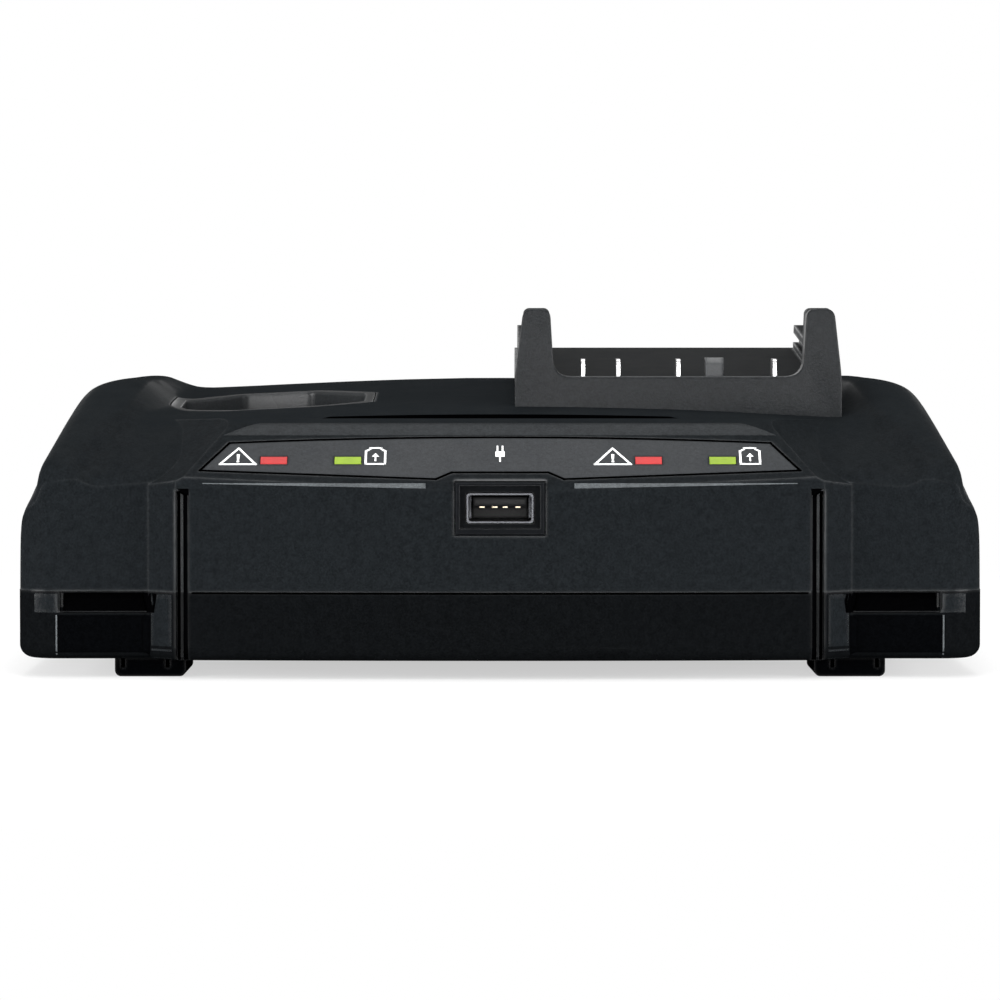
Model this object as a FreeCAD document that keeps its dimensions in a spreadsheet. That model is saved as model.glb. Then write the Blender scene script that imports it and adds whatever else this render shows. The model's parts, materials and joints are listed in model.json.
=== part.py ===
import FreeCAD, Part
import math
import os

# Twin-bay battery charger: a wide low housing in two shells, a pod socket on the left,
# a slide dock with two horns on the right, a small power outlet and a sloped light panel in front.
# Frame: X to the right, Y to the back, Z up, origin under the middle at the feet's soles.

Vector = FreeCAD.Vector
doc = FreeCAD.newDocument("charger")

SIZES = [
    # body
    ("body_width", 190.0),
    ("body_depth", 146.0),
    ("foot_height", 3.7),
    ("parting_height", 17.1),
    ("deck_height", 57.6),
    ("wall", 2.4),
    ("shoulder_height", 58.0),
    ("wing_front_height", 42.0),
    ("wing_setback", 7.0),
    ("deck_crown", 2.4),
    ("bottom_round", 2.6),
    ("corner_round", 8.0),
    ("back_round", 16.0),
    ("parting_step", 0.3),
    # front block
    ("block_half_width", 63.3),
    ("block_base_half_width", 69.0),
    ("block_bow", 2.3),
    ("crease_height", 38.0),
    ("panel_angle", 37.0),
    ("block_top_height", 50.7),
    ("block_top_half_width", 52.5),
    ("block_length", 34.0),
    ("groove_width", 2.4),
    ("groove_depth", 2.2),
    ("groove_rib", 0.5),
    # wing vents
    ("vent_height", 3.9),
    ("vent_depth", 2.0),
    ("vent_inset", 8.6),
    ("vent_slot", 1.6),
    ("side_slots", 9.0),
    ("side_slot_pitch", 6.0),
    ("side_slot_width", 2.2),
    ("side_slot_height", 8.0),
    # pod socket
    ("pod_x", -47.0),
    ("pod_depth_from_front", 64.0),
    ("pod_width", 41.5),
    ("pod_length", 46.0),
    ("pod_corner", 12.0),
    ("pod_floor_height", 17.6),
    ("pod_wall", 1.8),
    ("pod_blade_height", 10.0),
    ("pod_blade_pitch", 8.0),
    # slide dock
    ("dock_x", 36.0),
    ("dock_width", 65.6),
    ("dock_hole_width", 50.0),
    ("dock_start", 34.0),
    ("dock_end", 124.0),
    ("dock_bar_height", 58.6),
    ("dock_bar_length", 8.0),
    ("dock_floor_front_height", 56.6),
    ("dock_floor_back_height", 64.2),
    ("dock_floor_thickness", 2.2),
    ("horn_height", 72.7),
    ("horn_width", 5.8),
    ("horn_length", 19.0),
    ("horn_lean", 1.6),
    ("rail_height", 5.4),
    ("rail_width", 3.6),
    ("rail_groove", 1.3),
    ("blade_thickness", 0.8),
    ("blade_length", 8.0),
    ("blade_rise", 4.6),
    ("blade_start", 47.0),
    ("terminal_block_height", 15.0),
    ("detent_x", 43.9),
    ("detent_width", 3.7),
    ("detent_length", 6.0),
    ("detent_rise", 4.9),
    ("running_gap", 0.3),
    ("spring_wire", 0.45),
    ("spring_radius", 1.5),
    ("spring_turns", 5.0),
    # power outlet
    ("outlet_height", 33.6),
    ("outlet_width", 13.1),
    ("outlet_shell_height", 5.9),
    ("outlet_length", 14.0),
    ("outlet_metal", 0.4),
    ("bezel_width", 17.6),
    ("bezel_height", 10.5),
    ("bezel_proud", 0.5),
    ("bezel_length", 4.5),
    ("bezel_recess", 1.7),
    ("bezel_gap", 0.1),
    # light panel
    ("label_thickness", 0.3),
    ("label_gap", 0.25),
    ("label_foot_half", 58.6),
    ("label_top_half", 53.2),
    ("label_low", 2.1),
    ("label_notch", 4.2),
    ("label_side_low", 4.8),
    ("label_side_top", 13.4),
    ("label_top", 15.2),
    ("lens_width", 5.2),
    ("lens_length", 2.2),
    ("lens_depth_from_front", 6.4),
    ("red_lens_x", -44.3),
    ("green_lens_x", -29.8),
    ("bay_pitch", 73.4),
    # boards
    ("board_height", 9.6),
    ("board_thickness", 1.6),
    ("board_side_gap", 2.6),
    ("board_start", 17.0),
    ("board_back_gap", 10.0),
    ("board_screw_inset", 12.0),
    ("front_board_screw_x", 20.0),
    ("front_board_screw_depth", 17.0),
    ("front_board_width", 108.0),
    ("front_board_length", 17.0),
    # fasteners and feet
    ("screw_inset", 15.0),
    ("screw_front", 24.0),
    ("screw_back_inset", 20.0),
    ("boss_radius", 4.4),
    ("screw_radius", 1.5),
    ("screw_head_radius", 2.9),
    ("screw_head_recess", 2.4),
    ("foot_inset", 26.0),
    ("foot_width", 14.0),
    ("foot_length", 22.0),
    ("foot_front", 12.0),
    ("foot_back_inset", 34.0),
    ("foot_slot_width", 0.8),
    ("foot_slot_height", 2.0),
    ("foot_slot_outer", 5.4),
    ("foot_slot_inner", 3.4),
    ("foot_sole", 1.7),
    ("foot_pin", 1.5),
    # cord gland
    ("gland_x", -58.0),
    ("gland_bore_radius", 3.3),
    ("gland_radius", 5.4),
    ("gland_flange_radius", 7.4),
    ("gland_length", 13.0),
    ("gland_flange", 2.0),
    # stock parts on the board
    ("board_screw_radius", 1.0),
    ("detent_shoulder", 0.7),
    ("detent_shoulder_height", 2.0),
    ("choke_x", -6.0),
    ("choke_depth", 112.0),
    ("choke_radius", 8.0),
    ("choke_core_radius", 3.2),
    ("transformer_x", 32.0),
    ("transformer_depth", 90.0),
    ("sink_x", 60.0),
    ("sink_depth", 66.0),
    ("capacitor_x", 4.0),
    ("capacitor_depth", 84.0),
    ("capacitor_radius", 9.0),
    ("capacitor_height", 30.0),
    ("film_x", -50.0),
    ("film_depth", 104.0),
    ("film_width", 18.0),
    ("film_length", 8.5),
    ("film_height", 15.0),
    ("fuse_x", -50.0),
    ("fuse_depth", 117.0),
    ("fuse_width", 23.0),
    ("fuse_length", 9.0),
    ("fuse_height", 9.5),
    ("bridge_x", -12.0),
    ("bridge_depth", 62.0),
    ("bridge_width", 15.0),
    ("bridge_length", 4.0),
    ("bridge_height", 14.0),
    ("chip_x", -10.0),
    ("chip_depth", 34.0),
    ("chip_size", 10.0),
    ("chip_height", 1.6),
    ("plate_width", 62.0),
    ("plate_length", 34.0),
    ("plate_depth", 56.0),
    ("plate_thickness", 0.3),
    ("output_x", -16.0),
    ("output_pitch", 12.0),
    ("output_depth", 50.0),
    ("output_radius", 4.6),
    ("output_height", 16.0),
]

sheet = doc.addObject("Spreadsheet::Sheet", "sizes")
for row, (alias, value) in enumerate(SIZES, start=1):
    sheet.set(f"A{row}", alias)
    sheet.set(f"B{row}", repr(value))
    sheet.setAlias(f"B{row}", alias)
doc.recompute()


class Sizes:
    """The sheet's cells as plain numbers."""

    def __getattr__(self, alias):
        return float(sheet.get(alias))


s = Sizes()


def front_board_top():
    """The small board's upper face carries the outlet."""
    return s.outlet_height - s.outlet_shell_height / 2


pieces = []
FRONT = -s.body_depth / 2
SLOPE = math.tan(math.radians(s.panel_angle))


def y_at(depth):
    """Y of a plane that lies so far behind the front face."""
    return FRONT + depth


# Small helpers
def keep(obj):
    """Marks an object of the document as a piece to hand in."""
    pieces.append(obj)
    return obj


def feature(label, shape):
    """A piece whose shape is worked out here from the sheet."""
    obj = doc.addObject("Part::Feature", label)
    obj.Shape = shape
    obj.Label = label
    return keep(obj)


def block(x0, x1, depth0, depth1, z0, z1):
    """A box between two X, two distances behind the front face and two heights."""
    return Part.makeBox(x1 - x0, depth1 - depth0, z1 - z0, Vector(x0, y_at(depth0), z0))


def post(x, depth, z0, z1, radius):
    """An upright cylinder."""
    return Part.makeCylinder(radius, z1 - z0, Vector(x, y_at(depth), z0))


def outline(points):
    """A closed polygon's face through points."""
    return Part.Face(Part.makePolygon([*points, points[0]]))


def mirrored(shape):
    """The same shape on the other side of the middle plane."""
    return shape.mirror(Vector(0, 0, 0), Vector(1, 0, 0))


def bound(kind, label, position, **sizes):
    """A Part primitive whose sizes and place are expressions of the sheet's cells."""
    obj = doc.addObject(kind, label)
    obj.Label = label
    for name, text in sizes.items():
        obj.setExpression(name, text)
    for axis, text in zip("xyz", position):
        obj.setExpression(f"Placement.Base.{axis}", text)
    return obj


def depth_text(text):
    """The expression of Y for a distance behind the front face."""
    return f"{text} - sizes.body_depth / 2"


# Housing shells
def section(depth, top, shoulder, half_width, spread, foot, inset):
    """One cross-section of the shell: upright sides, a ledge, a humped shoulder and a crowned deck."""
    rise = shoulder - s.parting_height
    valley = min(top - s.deck_crown, shoulder - 0.2)
    half = [
        (0.0, foot),
        (0.1, s.parting_height + 0.24 * rise),
        (0.5, s.parting_height + 0.46 * rise),
        (1.7, s.parting_height + 0.59 * rise),
        (5.6, s.parting_height + 0.715 * rise),
        (6.7, s.parting_height + 0.775 * rise),
        (8.1, s.parting_height + 0.93 * rise),
        (11.9, s.parting_height + 0.985 * rise),
        (20.0, shoulder + 0.3),
        (24.0, (shoulder + valley) / 2),
        (28.0, valley),
        (35.0, valley + s.deck_crown * 0.08),
        (65.0, top - s.deck_crown * 0.3),
    ]
    places = [(half_width - spread * step, z) for step, z in half] + [(0.0, top)]
    right = [Vector(x - (inset if x else 0.0), y_at(depth), z - (inset if z > foot else 0.0)) for x, z in places]
    left = [Vector(-p.x, p.y, p.z) for p in reversed(right[:-1])]
    poles = right + left
    spans = len(poles) - 2
    curve = Part.BSplineCurve()
    curve.buildFromPolesMultsKnots(poles, [3] + [1] * (spans - 1) + [3], list(range(spans + 1)), False, 2)
    base = Part.LineSegment(left[-1], right[0])
    return Part.Wire([curve.toShape(), base.toShape()])


def shell_solid(inset):
    """The wings, shoulders and deck, lofted from the front to the back."""
    foot = s.parting_height - (s.wall if inset else 0.0)
    wing = s.wing_front_height
    deck = s.deck_height
    hump = s.shoulder_height
    first = s.wing_setback + inset
    last = s.body_depth - inset
    wide = s.body_width / 2 - s.parting_step
    stations = [
        (first, wing - 2.0, wing - 3.0, wide - 1.4, 0.5),
        (first + 1.4, wing, wing - 0.8, wide - 0.4, 0.5),
        (first + 7.0, wing + 3.4, wing + 2.6, wide, 0.56),
        (first + 22.0, deck - 5.6, hump - 7.0, wide, 0.82),
        (first + 42.0, deck - 3.6, hump - 1.6, wide, 1.0),
        (first + 66.0, deck - 2.0, hump, wide, 1.0),
        (last - 24.0, deck, hump, wide, 1.0),
        (last - 9.0, deck - 2.0, hump - 2.4, wide - 1.4, 1.0),
        (last - 2.0, deck - 9.0, hump - 10.0, wide - 4.5, 1.0),
        (last, deck - 15.0, hump - 17.0, wide - 7.0, 1.0),
    ]
    wires = [section(*station, foot, inset) for station in stations]
    return Part.makeLoft(wires, True, False)


def plan_prism(inset, z0, z1):
    """The plan of the whole body, drawn up to a height: rounded corners, slanted front block."""
    wide = s.body_width / 2 - inset
    back = s.body_depth - inset
    wing = s.wing_setback + inset
    base = s.block_base_half_width - inset
    nose = s.block_half_width - inset
    corner = max(s.corner_round - inset, 1.0)
    rear = s.back_round - inset
    diagonal = math.sqrt(0.5)

    def at(x, depth):
        return Vector(x, y_at(depth), z0)

    def arc(a, b, c):
        return Part.Arc(at(*a), at(*b), at(*c)).toShape()

    def line(a, b):
        return Part.LineSegment(at(*a), at(*b)).toShape()

    nose_depth = s.block_bow + inset
    edges = [
        arc((-nose, nose_depth), (0, inset), (nose, nose_depth)),
        line((nose, nose_depth), (base, wing)),
        line((base, wing), (wide - corner, wing)),
        arc(
            (wide - corner, wing),
            (wide - corner * (1 - diagonal), wing + corner * (1 - diagonal)),
            (wide, wing + corner),
        ),
        line((wide, wing + corner), (wide, back - rear)),
        arc(
            (wide, back - rear),
            (wide - rear * (1 - diagonal), back - rear * (1 - diagonal)),
            (wide - rear, back),
        ),
        line((wide - rear, back), (rear - wide, back)),
        arc(
            (rear - wide, back),
            (rear * (1 - diagonal) - wide, back - rear * (1 - diagonal)),
            (-wide, back - rear),
        ),
        line((-wide, back - rear), (-wide, wing + corner)),
        arc(
            (-wide, wing + corner),
            (corner * (1 - diagonal) - wide, wing + corner * (1 - diagonal)),
            (corner - wide, wing),
        ),
        line((corner - wide, wing), (-base, wing)),
        line((-base, wing), (-nose, nose_depth)),
    ]
    return Part.Face(Part.Wire(edges)).extrude(Vector(0, 0, z1 - z0))


def block_side_prism(inset):
    """The front block's profile seen from the side: upright face, sloped panel, rounded top."""
    foot = s.parting_height - (s.wall if inset else 0.0)
    lean = inset / math.cos(math.radians(s.panel_angle))
    crease_round = 3.0
    top = s.block_top_height - inset
    low = s.crease_height - lean + inset * SLOPE
    shift = crease_round * math.tan(math.radians((90 - s.panel_angle) / 2))
    run = (top - low) / SLOPE
    reach = 4.0
    angle = math.radians(s.panel_angle)

    def at(depth, z):
        return Vector(-s.body_width / 2, y_at(depth), z)

    start = at(inset, low - shift)
    end = at(inset + shift * math.cos(angle), low + shift * math.sin(angle))
    middle_turn = math.radians((90 + s.panel_angle) / 2)
    centre = at(inset + crease_round, low - shift)
    middle = centre + Vector(0, -crease_round * math.sin(middle_turn), crease_round * math.cos(middle_turn))
    brow_start = at(inset + run - reach * math.cos(angle), top - reach * math.sin(angle))
    brow_end = at(inset + run + reach, top)
    brow_radius = reach / math.tan(angle / 2)
    brow_centre = brow_end - Vector(0, 0, brow_radius)
    half_angle = angle / 2
    brow_middle = brow_centre + Vector(0, -brow_radius * math.sin(half_angle), brow_radius * math.cos(half_angle))
    back_top = at(s.block_length, top - 0.6)
    back_foot = at(s.block_length, foot)
    wire = Part.Wire([
        Part.LineSegment(at(inset, foot), start).toShape(),
        Part.Arc(start, middle, end).toShape(),
        Part.LineSegment(end, brow_start).toShape(),
        Part.Arc(brow_start, brow_middle, brow_end).toShape(),
        Part.LineSegment(brow_end, back_top).toShape(),
        Part.LineSegment(back_top, back_foot).toShape(),
        Part.LineSegment(back_foot, at(inset, foot)).toShape(),
    ])
    return Part.Face(wire).extrude(Vector(s.body_width, 0, 0))


def block_corner_cut(inset):
    """The slanted plane that takes the right top corner off the front block."""
    low = Vector(s.block_half_width - 1.6 - inset, y_at(s.block_bow), s.crease_height + s.block_bow * SLOPE)
    depth_top = (s.block_top_height - s.crease_height) / SLOPE
    high = Vector(s.block_top_half_width - inset, y_at(depth_top), s.block_top_height)
    outer = Vector(s.block_base_half_width - 0.5 - inset, y_at(s.wing_setback + 1.0), s.crease_height + 0.8)
    along = (high - low).normalize()
    normal = along.cross(outer - low).normalize()
    if normal.x < 0:
        normal = normal * -1
    across = normal.cross(along).normalize()
    reach = 90.0
    corner = low - along * reach - across * reach
    face = outline([
        corner,
        corner + along * 2 * reach,
        corner + along * 2 * reach + across * 2 * reach,
        corner + across * 2 * reach,
    ])
    return face.extrude(normal * reach)


def block_solid(inset):
    """The front block that stands out between the wings."""
    foot = s.parting_height - (s.wall if inset else 0.0)
    solid = plan_prism(inset, foot, s.block_top_height + 5.0).common(block_side_prism(inset))
    cut = block_corner_cut(inset)
    solid = solid.cut(cut).cut(mirrored(cut))
    middle = block(
        -s.block_base_half_width + inset, s.block_base_half_width - inset,
        -5.0, s.block_length, foot, s.block_top_height + 5.0,
    )
    return solid.common(middle)


def upper_solid(inset):
    """Shell and front block in one."""
    foot = s.parting_height - (s.wall if inset else 0.0)
    shell = shell_solid(inset).common(plan_prism(inset, foot, s.deck_height + 20.0))
    return shell.fuse(block_solid(inset)).removeSplitter()


OUTER = upper_solid(0.0)
INNER = upper_solid(s.wall)


# Panel plane in front
def on_panel(x, up, sink=0.0):
    """A point of the sloped panel: so far up its slope from the crease, and sunk below it."""
    angle = math.radians(s.panel_angle)
    return Vector(
        x,
        y_at(up * math.cos(angle) + sink * math.sin(angle)),
        s.crease_height + up * math.sin(angle) - sink * math.cos(angle),
    )


def panel_normal():
    angle = math.radians(s.panel_angle)
    return Vector(0, -math.sin(angle), math.cos(angle))


def label_solid(margin, sink, thickness):
    """The printed sheet's outline, with a notch over the outlet, as a slab of the panel."""
    notch = s.bezel_width / 2 + 0.6
    corners = [
        (-s.label_foot_half - margin, s.label_side_low - margin),
        (-notch - 3.1, s.label_low - margin),
        (-notch, s.label_notch - margin),
        (notch, s.label_notch - margin),
        (notch + 3.1, s.label_low - margin),
        (s.label_foot_half + margin, s.label_side_low - margin),
        (s.label_top_half + margin * 0.6, s.label_side_top + margin),
    ]
    points = [on_panel(x, up, sink) for x, up in corners]
    left_top = on_panel(-s.label_top_half - margin * 0.6, s.label_side_top + margin, sink)
    crown = on_panel(0, s.label_top + margin, sink)
    edges = [Part.LineSegment(a, b).toShape() for a, b in zip(points, points[1:])]
    edges.append(Part.Arc(points[-1], crown, left_top).toShape())
    edges.append(Part.LineSegment(left_top, points[0]).toShape())
    return Part.Face(Part.Wire(edges)).extrude(panel_normal() * thickness)


def lens_places():
    """X of every light, red and green for each bay."""
    return {
        "red": [s.red_lens_x, s.red_lens_x + s.bay_pitch],
        "green": [s.green_lens_x, s.green_lens_x + s.bay_pitch],
    }


def lens_prism(x, margin, z0, z1):
    """The upright bar of clear plastic that carries a light to the panel."""
    half_length = s.lens_length * math.cos(math.radians(s.panel_angle)) / 2 + margin
    half_width = s.lens_width / 2 + margin
    middle = s.lens_depth_from_front
    return block(x - half_width, x + half_width, middle - half_length, middle + half_length, z0, z1)


def under_panel(sink):
    """Everything below the panel plane, less a sink."""
    angle = math.radians(s.panel_angle)
    wide = s.body_width / 2
    low = on_panel(-wide, -60.0, sink)
    high = on_panel(-wide, 60.0, sink)
    face = outline([low, high, Vector(-wide, high.y, -60.0), Vector(-wide, low.y, -60.0)])
    return face.extrude(Vector(2 * wide, 0, 0))


# Bay openings
def pod_prism(margin, z0, z1):
    """The pod socket's mouth: a rectangle with its corners cut."""
    half_width = s.pod_width / 2 + margin
    half_length = s.pod_length / 2 + margin
    cut = s.pod_corner
    middle = s.pod_depth_from_front
    points = [
        (half_width, -half_length + cut),
        (half_width, half_length - cut),
        (half_width - cut, half_length),
        (cut - half_width, half_length),
        (-half_width, half_length - cut),
        (-half_width, cut - half_length),
        (cut - half_width, -half_length),
        (half_width - cut, -half_length),
    ]
    face = outline([Vector(s.pod_x + x, y_at(middle + d), z0) for x, d in points])
    prism = face.extrude(Vector(0, 0, z1 - z0))
    upright = [e for e in prism.Edges if abs(e.tangentAt(e.FirstParameter).z) > 0.9]
    return prism.makeFillet(3.0, upright)


def dock_floor_z(depth):
    """Height of the dock's sloping floor."""
    share = (depth - s.dock_start) / (s.dock_end - s.dock_start)
    return s.dock_floor_front_height + share * (s.dock_floor_back_height - s.dock_floor_front_height)


def side_profile(x0, x1, points):
    """A prism across X from a profile of (distance behind the front, height) points."""
    face = outline([Vector(x0, y_at(depth), z) for depth, z in points])
    return face.extrude(Vector(x1 - x0, 0, 0))


def detent_box(margin, z0, z1):
    half = s.detent_width / 2
    start = s.blade_start
    return block(
        s.detent_x - half - margin, s.detent_x + half + margin,
        start - margin, start + s.detent_length + margin, z0, z1,
    )


BLADES = [17.0, 24.2, 36.5, 56.2]


def blade_box(x, margin, z0, z1):
    half = s.blade_thickness / 2 + margin
    return block(x - half, x + half, s.blade_start - margin, s.blade_start + s.blade_length + margin, z0, z1)


# Shells
def screw_places():
    """X and distance behind the front of every housing screw."""
    x = s.body_width / 2 - s.screw_inset
    return [(side * x, depth) for side in (-1, 1) for depth in (s.screw_front, s.body_depth - s.screw_back_inset)]


def upper_housing():
    """The cover: hollow, with both bays, the outlet window and the panel's recess cut in."""
    top = s.horn_height
    bosses = [post(x, depth, s.parting_height, top, s.boss_radius) for x, depth in screw_places()]
    hangers = [
        post(side * s.front_board_screw_x, s.front_board_screw_depth, front_board_top(), top, s.boss_radius - 0.8)
        for side in (-1, 1)
    ]
    ribs = OUTER.common(Part.makeCompound(bosses + hangers))
    shell = OUTER.cut(INNER).fuse(ribs.Solids)
    window = s.bezel_gap
    half = s.bezel_width / 2 + window
    cutters = [
        pod_prism(s.running_gap, s.parting_height, top),
        block(
            s.dock_x - s.dock_hole_width / 2, s.dock_x + s.dock_hole_width / 2,
            s.blade_start - 6.0, s.blade_start + 22.0, s.parting_height + 16.0, top,
        ),
        block(
            -half, half, -5.0, s.bezel_length,
            s.outlet_height - s.bezel_height / 2 - window, s.outlet_height + s.bezel_height / 2 + window,
        ),
        label_solid(s.label_gap, s.label_thickness, 4.0),
        Part.makeCylinder(
            s.gland_radius + 0.05, s.wall * 8,
            Vector(s.gland_x, y_at(s.body_depth - s.wall * 6), s.parting_height), Vector(0, 1, 0),
        ),
    ]
    for places in lens_places().values():
        cutters += [lens_prism(x, 0.12, front_board_top(), top) for x in places]
    cutters += [post(x, depth, s.parting_height - 1, s.parting_height + 12, s.screw_radius + 0.02)
                for x, depth in screw_places()]
    cutters += [
        post(side * s.front_board_screw_x, s.front_board_screw_depth, 0, front_board_top() + 5.0, 0.9)
        for side in (-1, 1)
    ]
    return shell.cut(cutters + grooves(s.parting_height, s.crease_height - 1.0))


def grooves(z0, z1):
    """The dark seams beside the middle face, with a fine rib standing in each."""
    outer = s.block_half_width
    inner = outer - s.groove_width
    floor = s.block_bow + s.groove_depth
    rib = (inner + outer) / 2
    slot = block(inner, outer, -3.0, floor, z0, z1)
    slot = slot.cut(block(rib - s.groove_rib / 2, rib + s.groove_rib / 2, s.block_bow + 0.7, floor, z0, z1))
    return [slot, mirrored(slot)]


def lower_outer():
    """The base's outside: the plan drawn up to the parting plane, rounded under."""
    prism = plan_prism(0.0, s.foot_height, s.parting_height)
    low = [
        e for e in prism.Edges
        if abs(e.BoundBox.ZMin - s.foot_height) < 0.01 and abs(e.BoundBox.ZMax - s.foot_height) < 0.01
    ]
    return prism.makeFillet(s.bottom_round, low)


def lower_housing():
    """The base tray with its screw bosses, board stands, vents and foot pockets."""
    floor = s.foot_height + s.wall
    tray = lower_outer().cut(plan_prism(s.wall, floor, s.parting_height + 1.0))
    inside = plan_prism(s.wall / 2, s.foot_height, s.parting_height)
    bosses = [post(x, depth, s.foot_height, s.parting_height, s.boss_radius) for x, depth in screw_places()]
    stands = [post(x, depth, floor - 0.5, s.board_height, 3.0) for x, depth in board_screws()]
    vent_backs = [
        block(
            s.block_base_half_width - 2.0, s.body_width / 2 - s.vent_inset + 1.6,
            s.wing_setback + 0.5, s.wing_setback + s.vent_depth + s.wall - 0.6,
            s.parting_height - s.vent_height - 1.4, s.parting_height,
        )
    ]
    vent_backs.append(mirrored(vent_backs[0]))
    walls = inside.common(Part.makeCompound(bosses + stands + vent_backs)).Solids
    tray = tray.fuse(walls)
    return tray.cut(lower_cutters(floor))


def lower_cutters(floor):
    """Everything that is cut out of the base."""
    vent_right = s.body_width / 2 - s.vent_inset
    vent = block(
        s.block_base_half_width, vent_right, s.wing_setback - 3.0, s.wing_setback + s.vent_depth,
        s.parting_height - s.vent_height, s.parting_height + 1.0,
    )
    cutters = [vent, mirrored(vent)]
    count = int((vent_right - s.block_base_half_width) / (s.vent_slot * 2))
    pitch = (vent_right - s.block_base_half_width) / count
    for n in range(count):
        x = s.block_base_half_width + pitch * (n + 0.5)
        slit = block(
            x - s.vent_slot / 2, x + s.vent_slot / 2, s.wing_setback, s.wing_setback + s.vent_depth + 6.0,
            s.parting_height - s.vent_height + 0.5, s.parting_height - 0.7,
        )
        cutters += [slit, mirrored(slit)]
    for n in range(int(s.side_slots)):
        depth = s.body_depth / 2 + (n - (s.side_slots - 1) / 2) * s.side_slot_pitch
        slot = block(
            s.body_width / 2 - 6.0, s.body_width / 2 + 3.0,
            depth - s.side_slot_width / 2, depth + s.side_slot_width / 2,
            s.parting_height - 2.0 - s.side_slot_height, s.parting_height - 2.0,
        )
        cutters += [slot, mirrored(slot)]
    for x, depth in screw_places():
        cutters.append(post(x, depth, s.foot_height - 1, s.parting_height + 1, s.screw_radius + 0.2))
        cutters.append(post(x, depth, s.foot_height - 1, s.foot_height + s.screw_head_recess + 2.2,
                            s.screw_head_radius + 0.3))
    cutters += [post(x, depth, floor, s.board_height + 1, 0.9) for x, depth in board_screws()]
    for x, depth in foot_places():
        for side in (-1, 1):
            pin = x + side * s.foot_width / 4
            cutters.append(post(pin, depth + s.foot_length / 2, s.foot_height - 1, floor + 1, s.foot_pin + 0.05))
    cutters.append(Part.makeCylinder(
        s.gland_radius + 0.05, s.wall * 8,
        Vector(s.gland_x, y_at(s.body_depth - s.wall * 6), s.parting_height), Vector(0, 1, 0),
    ))
    return cutters + grooves(s.foot_height - 1.0, s.parting_height + 1.0)


def board_half():
    """Half the main board's width: it lies between the screw bosses."""
    return s.body_width / 2 - s.screw_inset - s.boss_radius - s.board_side_gap


def board_end():
    """Distance of the main board's back edge behind the front."""
    return s.body_depth - s.board_back_gap


def board_screws():
    """X and distance behind the front of the main board's screws."""
    x = board_half() - s.board_screw_inset
    back = board_end() - s.board_screw_inset - 10.0
    return [(side * x, depth) for side in (-1, 1) for depth in (s.board_start + 20.0, back)]


def foot_places():
    """X of each foot's middle and the distance of its front edge behind the front."""
    x = s.body_width / 2 - s.foot_inset
    return [(side * x, depth) for depth in (s.foot_front, s.body_depth - s.foot_back_inset) for side in (-1, 1)]


feature("upper_housing", upper_housing())
feature("lower_housing", lower_housing())


# Pod bay
def pod_socket():
    """The deep cup of the pod bay, trimmed to the deck, on four pegs that reach the board."""
    cup = pod_prism(0.0, s.pod_floor_height, s.horn_height).common(OUTER)
    cup = cup.cut(pod_prism(-s.pod_wall, s.pod_floor_height + s.pod_wall, s.horn_height))
    board_top = s.board_height + s.board_thickness
    pegs = [
        post(s.pod_x + side_x * 8.0, s.pod_depth_from_front + side_y * 12.0, board_top, s.pod_floor_height + 0.5, 2.0)
        for side_x in (-1, 1) for side_y in (-1, 1)
    ]
    slots = [pod_blade(x, 0.0) for x in pod_blade_places()]
    return cup.fuse(pegs).cut(slots)


def pod_blade_places():
    return [s.pod_x + n * s.pod_blade_pitch for n in (-1, 0, 1)]


def pod_blade(x, margin):
    """One contact blade that stands up from the board through the socket's floor."""
    middle = s.pod_depth_from_front
    half = s.blade_thickness / 2 + margin
    return block(
        x - half, x + half, middle - 3.0, middle + 3.0,
        s.board_height + s.board_thickness, s.pod_floor_height + s.pod_wall + s.pod_blade_height,
    )


# Slide dock
def horn():
    """The left horn: a leaning ear, rounded all over, that guides the pack's cheek."""
    x0 = s.dock_x - s.dock_width / 2
    foot = dock_floor_z(s.dock_start) - 8.0
    start = s.dock_start + 0.8

    def ring(left, right, depth0, depth1, z):
        return Part.makePolygon([
            Vector(left, y_at(depth0), z), Vector(right, y_at(depth0), z),
            Vector(right, y_at(depth1), z), Vector(left, y_at(depth1), z), Vector(left, y_at(depth0), z),
        ])

    base = ring(x0, x0 + s.horn_width + s.horn_lean, start, start + s.horn_length, foot)
    tip = ring(
        x0 + s.horn_lean, x0 + s.horn_lean + s.horn_width - 0.6,
        start + 3.4, start + s.horn_length * 0.66, s.horn_height,
    )
    ear = Part.makeLoft([base, tip], True, True)
    upright = [e for e in ear.Edges if e.BoundBox.ZLength > 5.0]
    ear = ear.makeFillet(1.9, upright)
    crown = [e for e in ear.Edges if e.BoundBox.ZMin > s.horn_height - 0.01]
    return ear.makeFillet(1.2, crown)


def dock_mirrored(shape):
    """The same shape on the other side of the dock's own middle plane."""
    return shape.mirror(Vector(s.dock_x, 0, 0), Vector(1, 0, 0))


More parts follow.
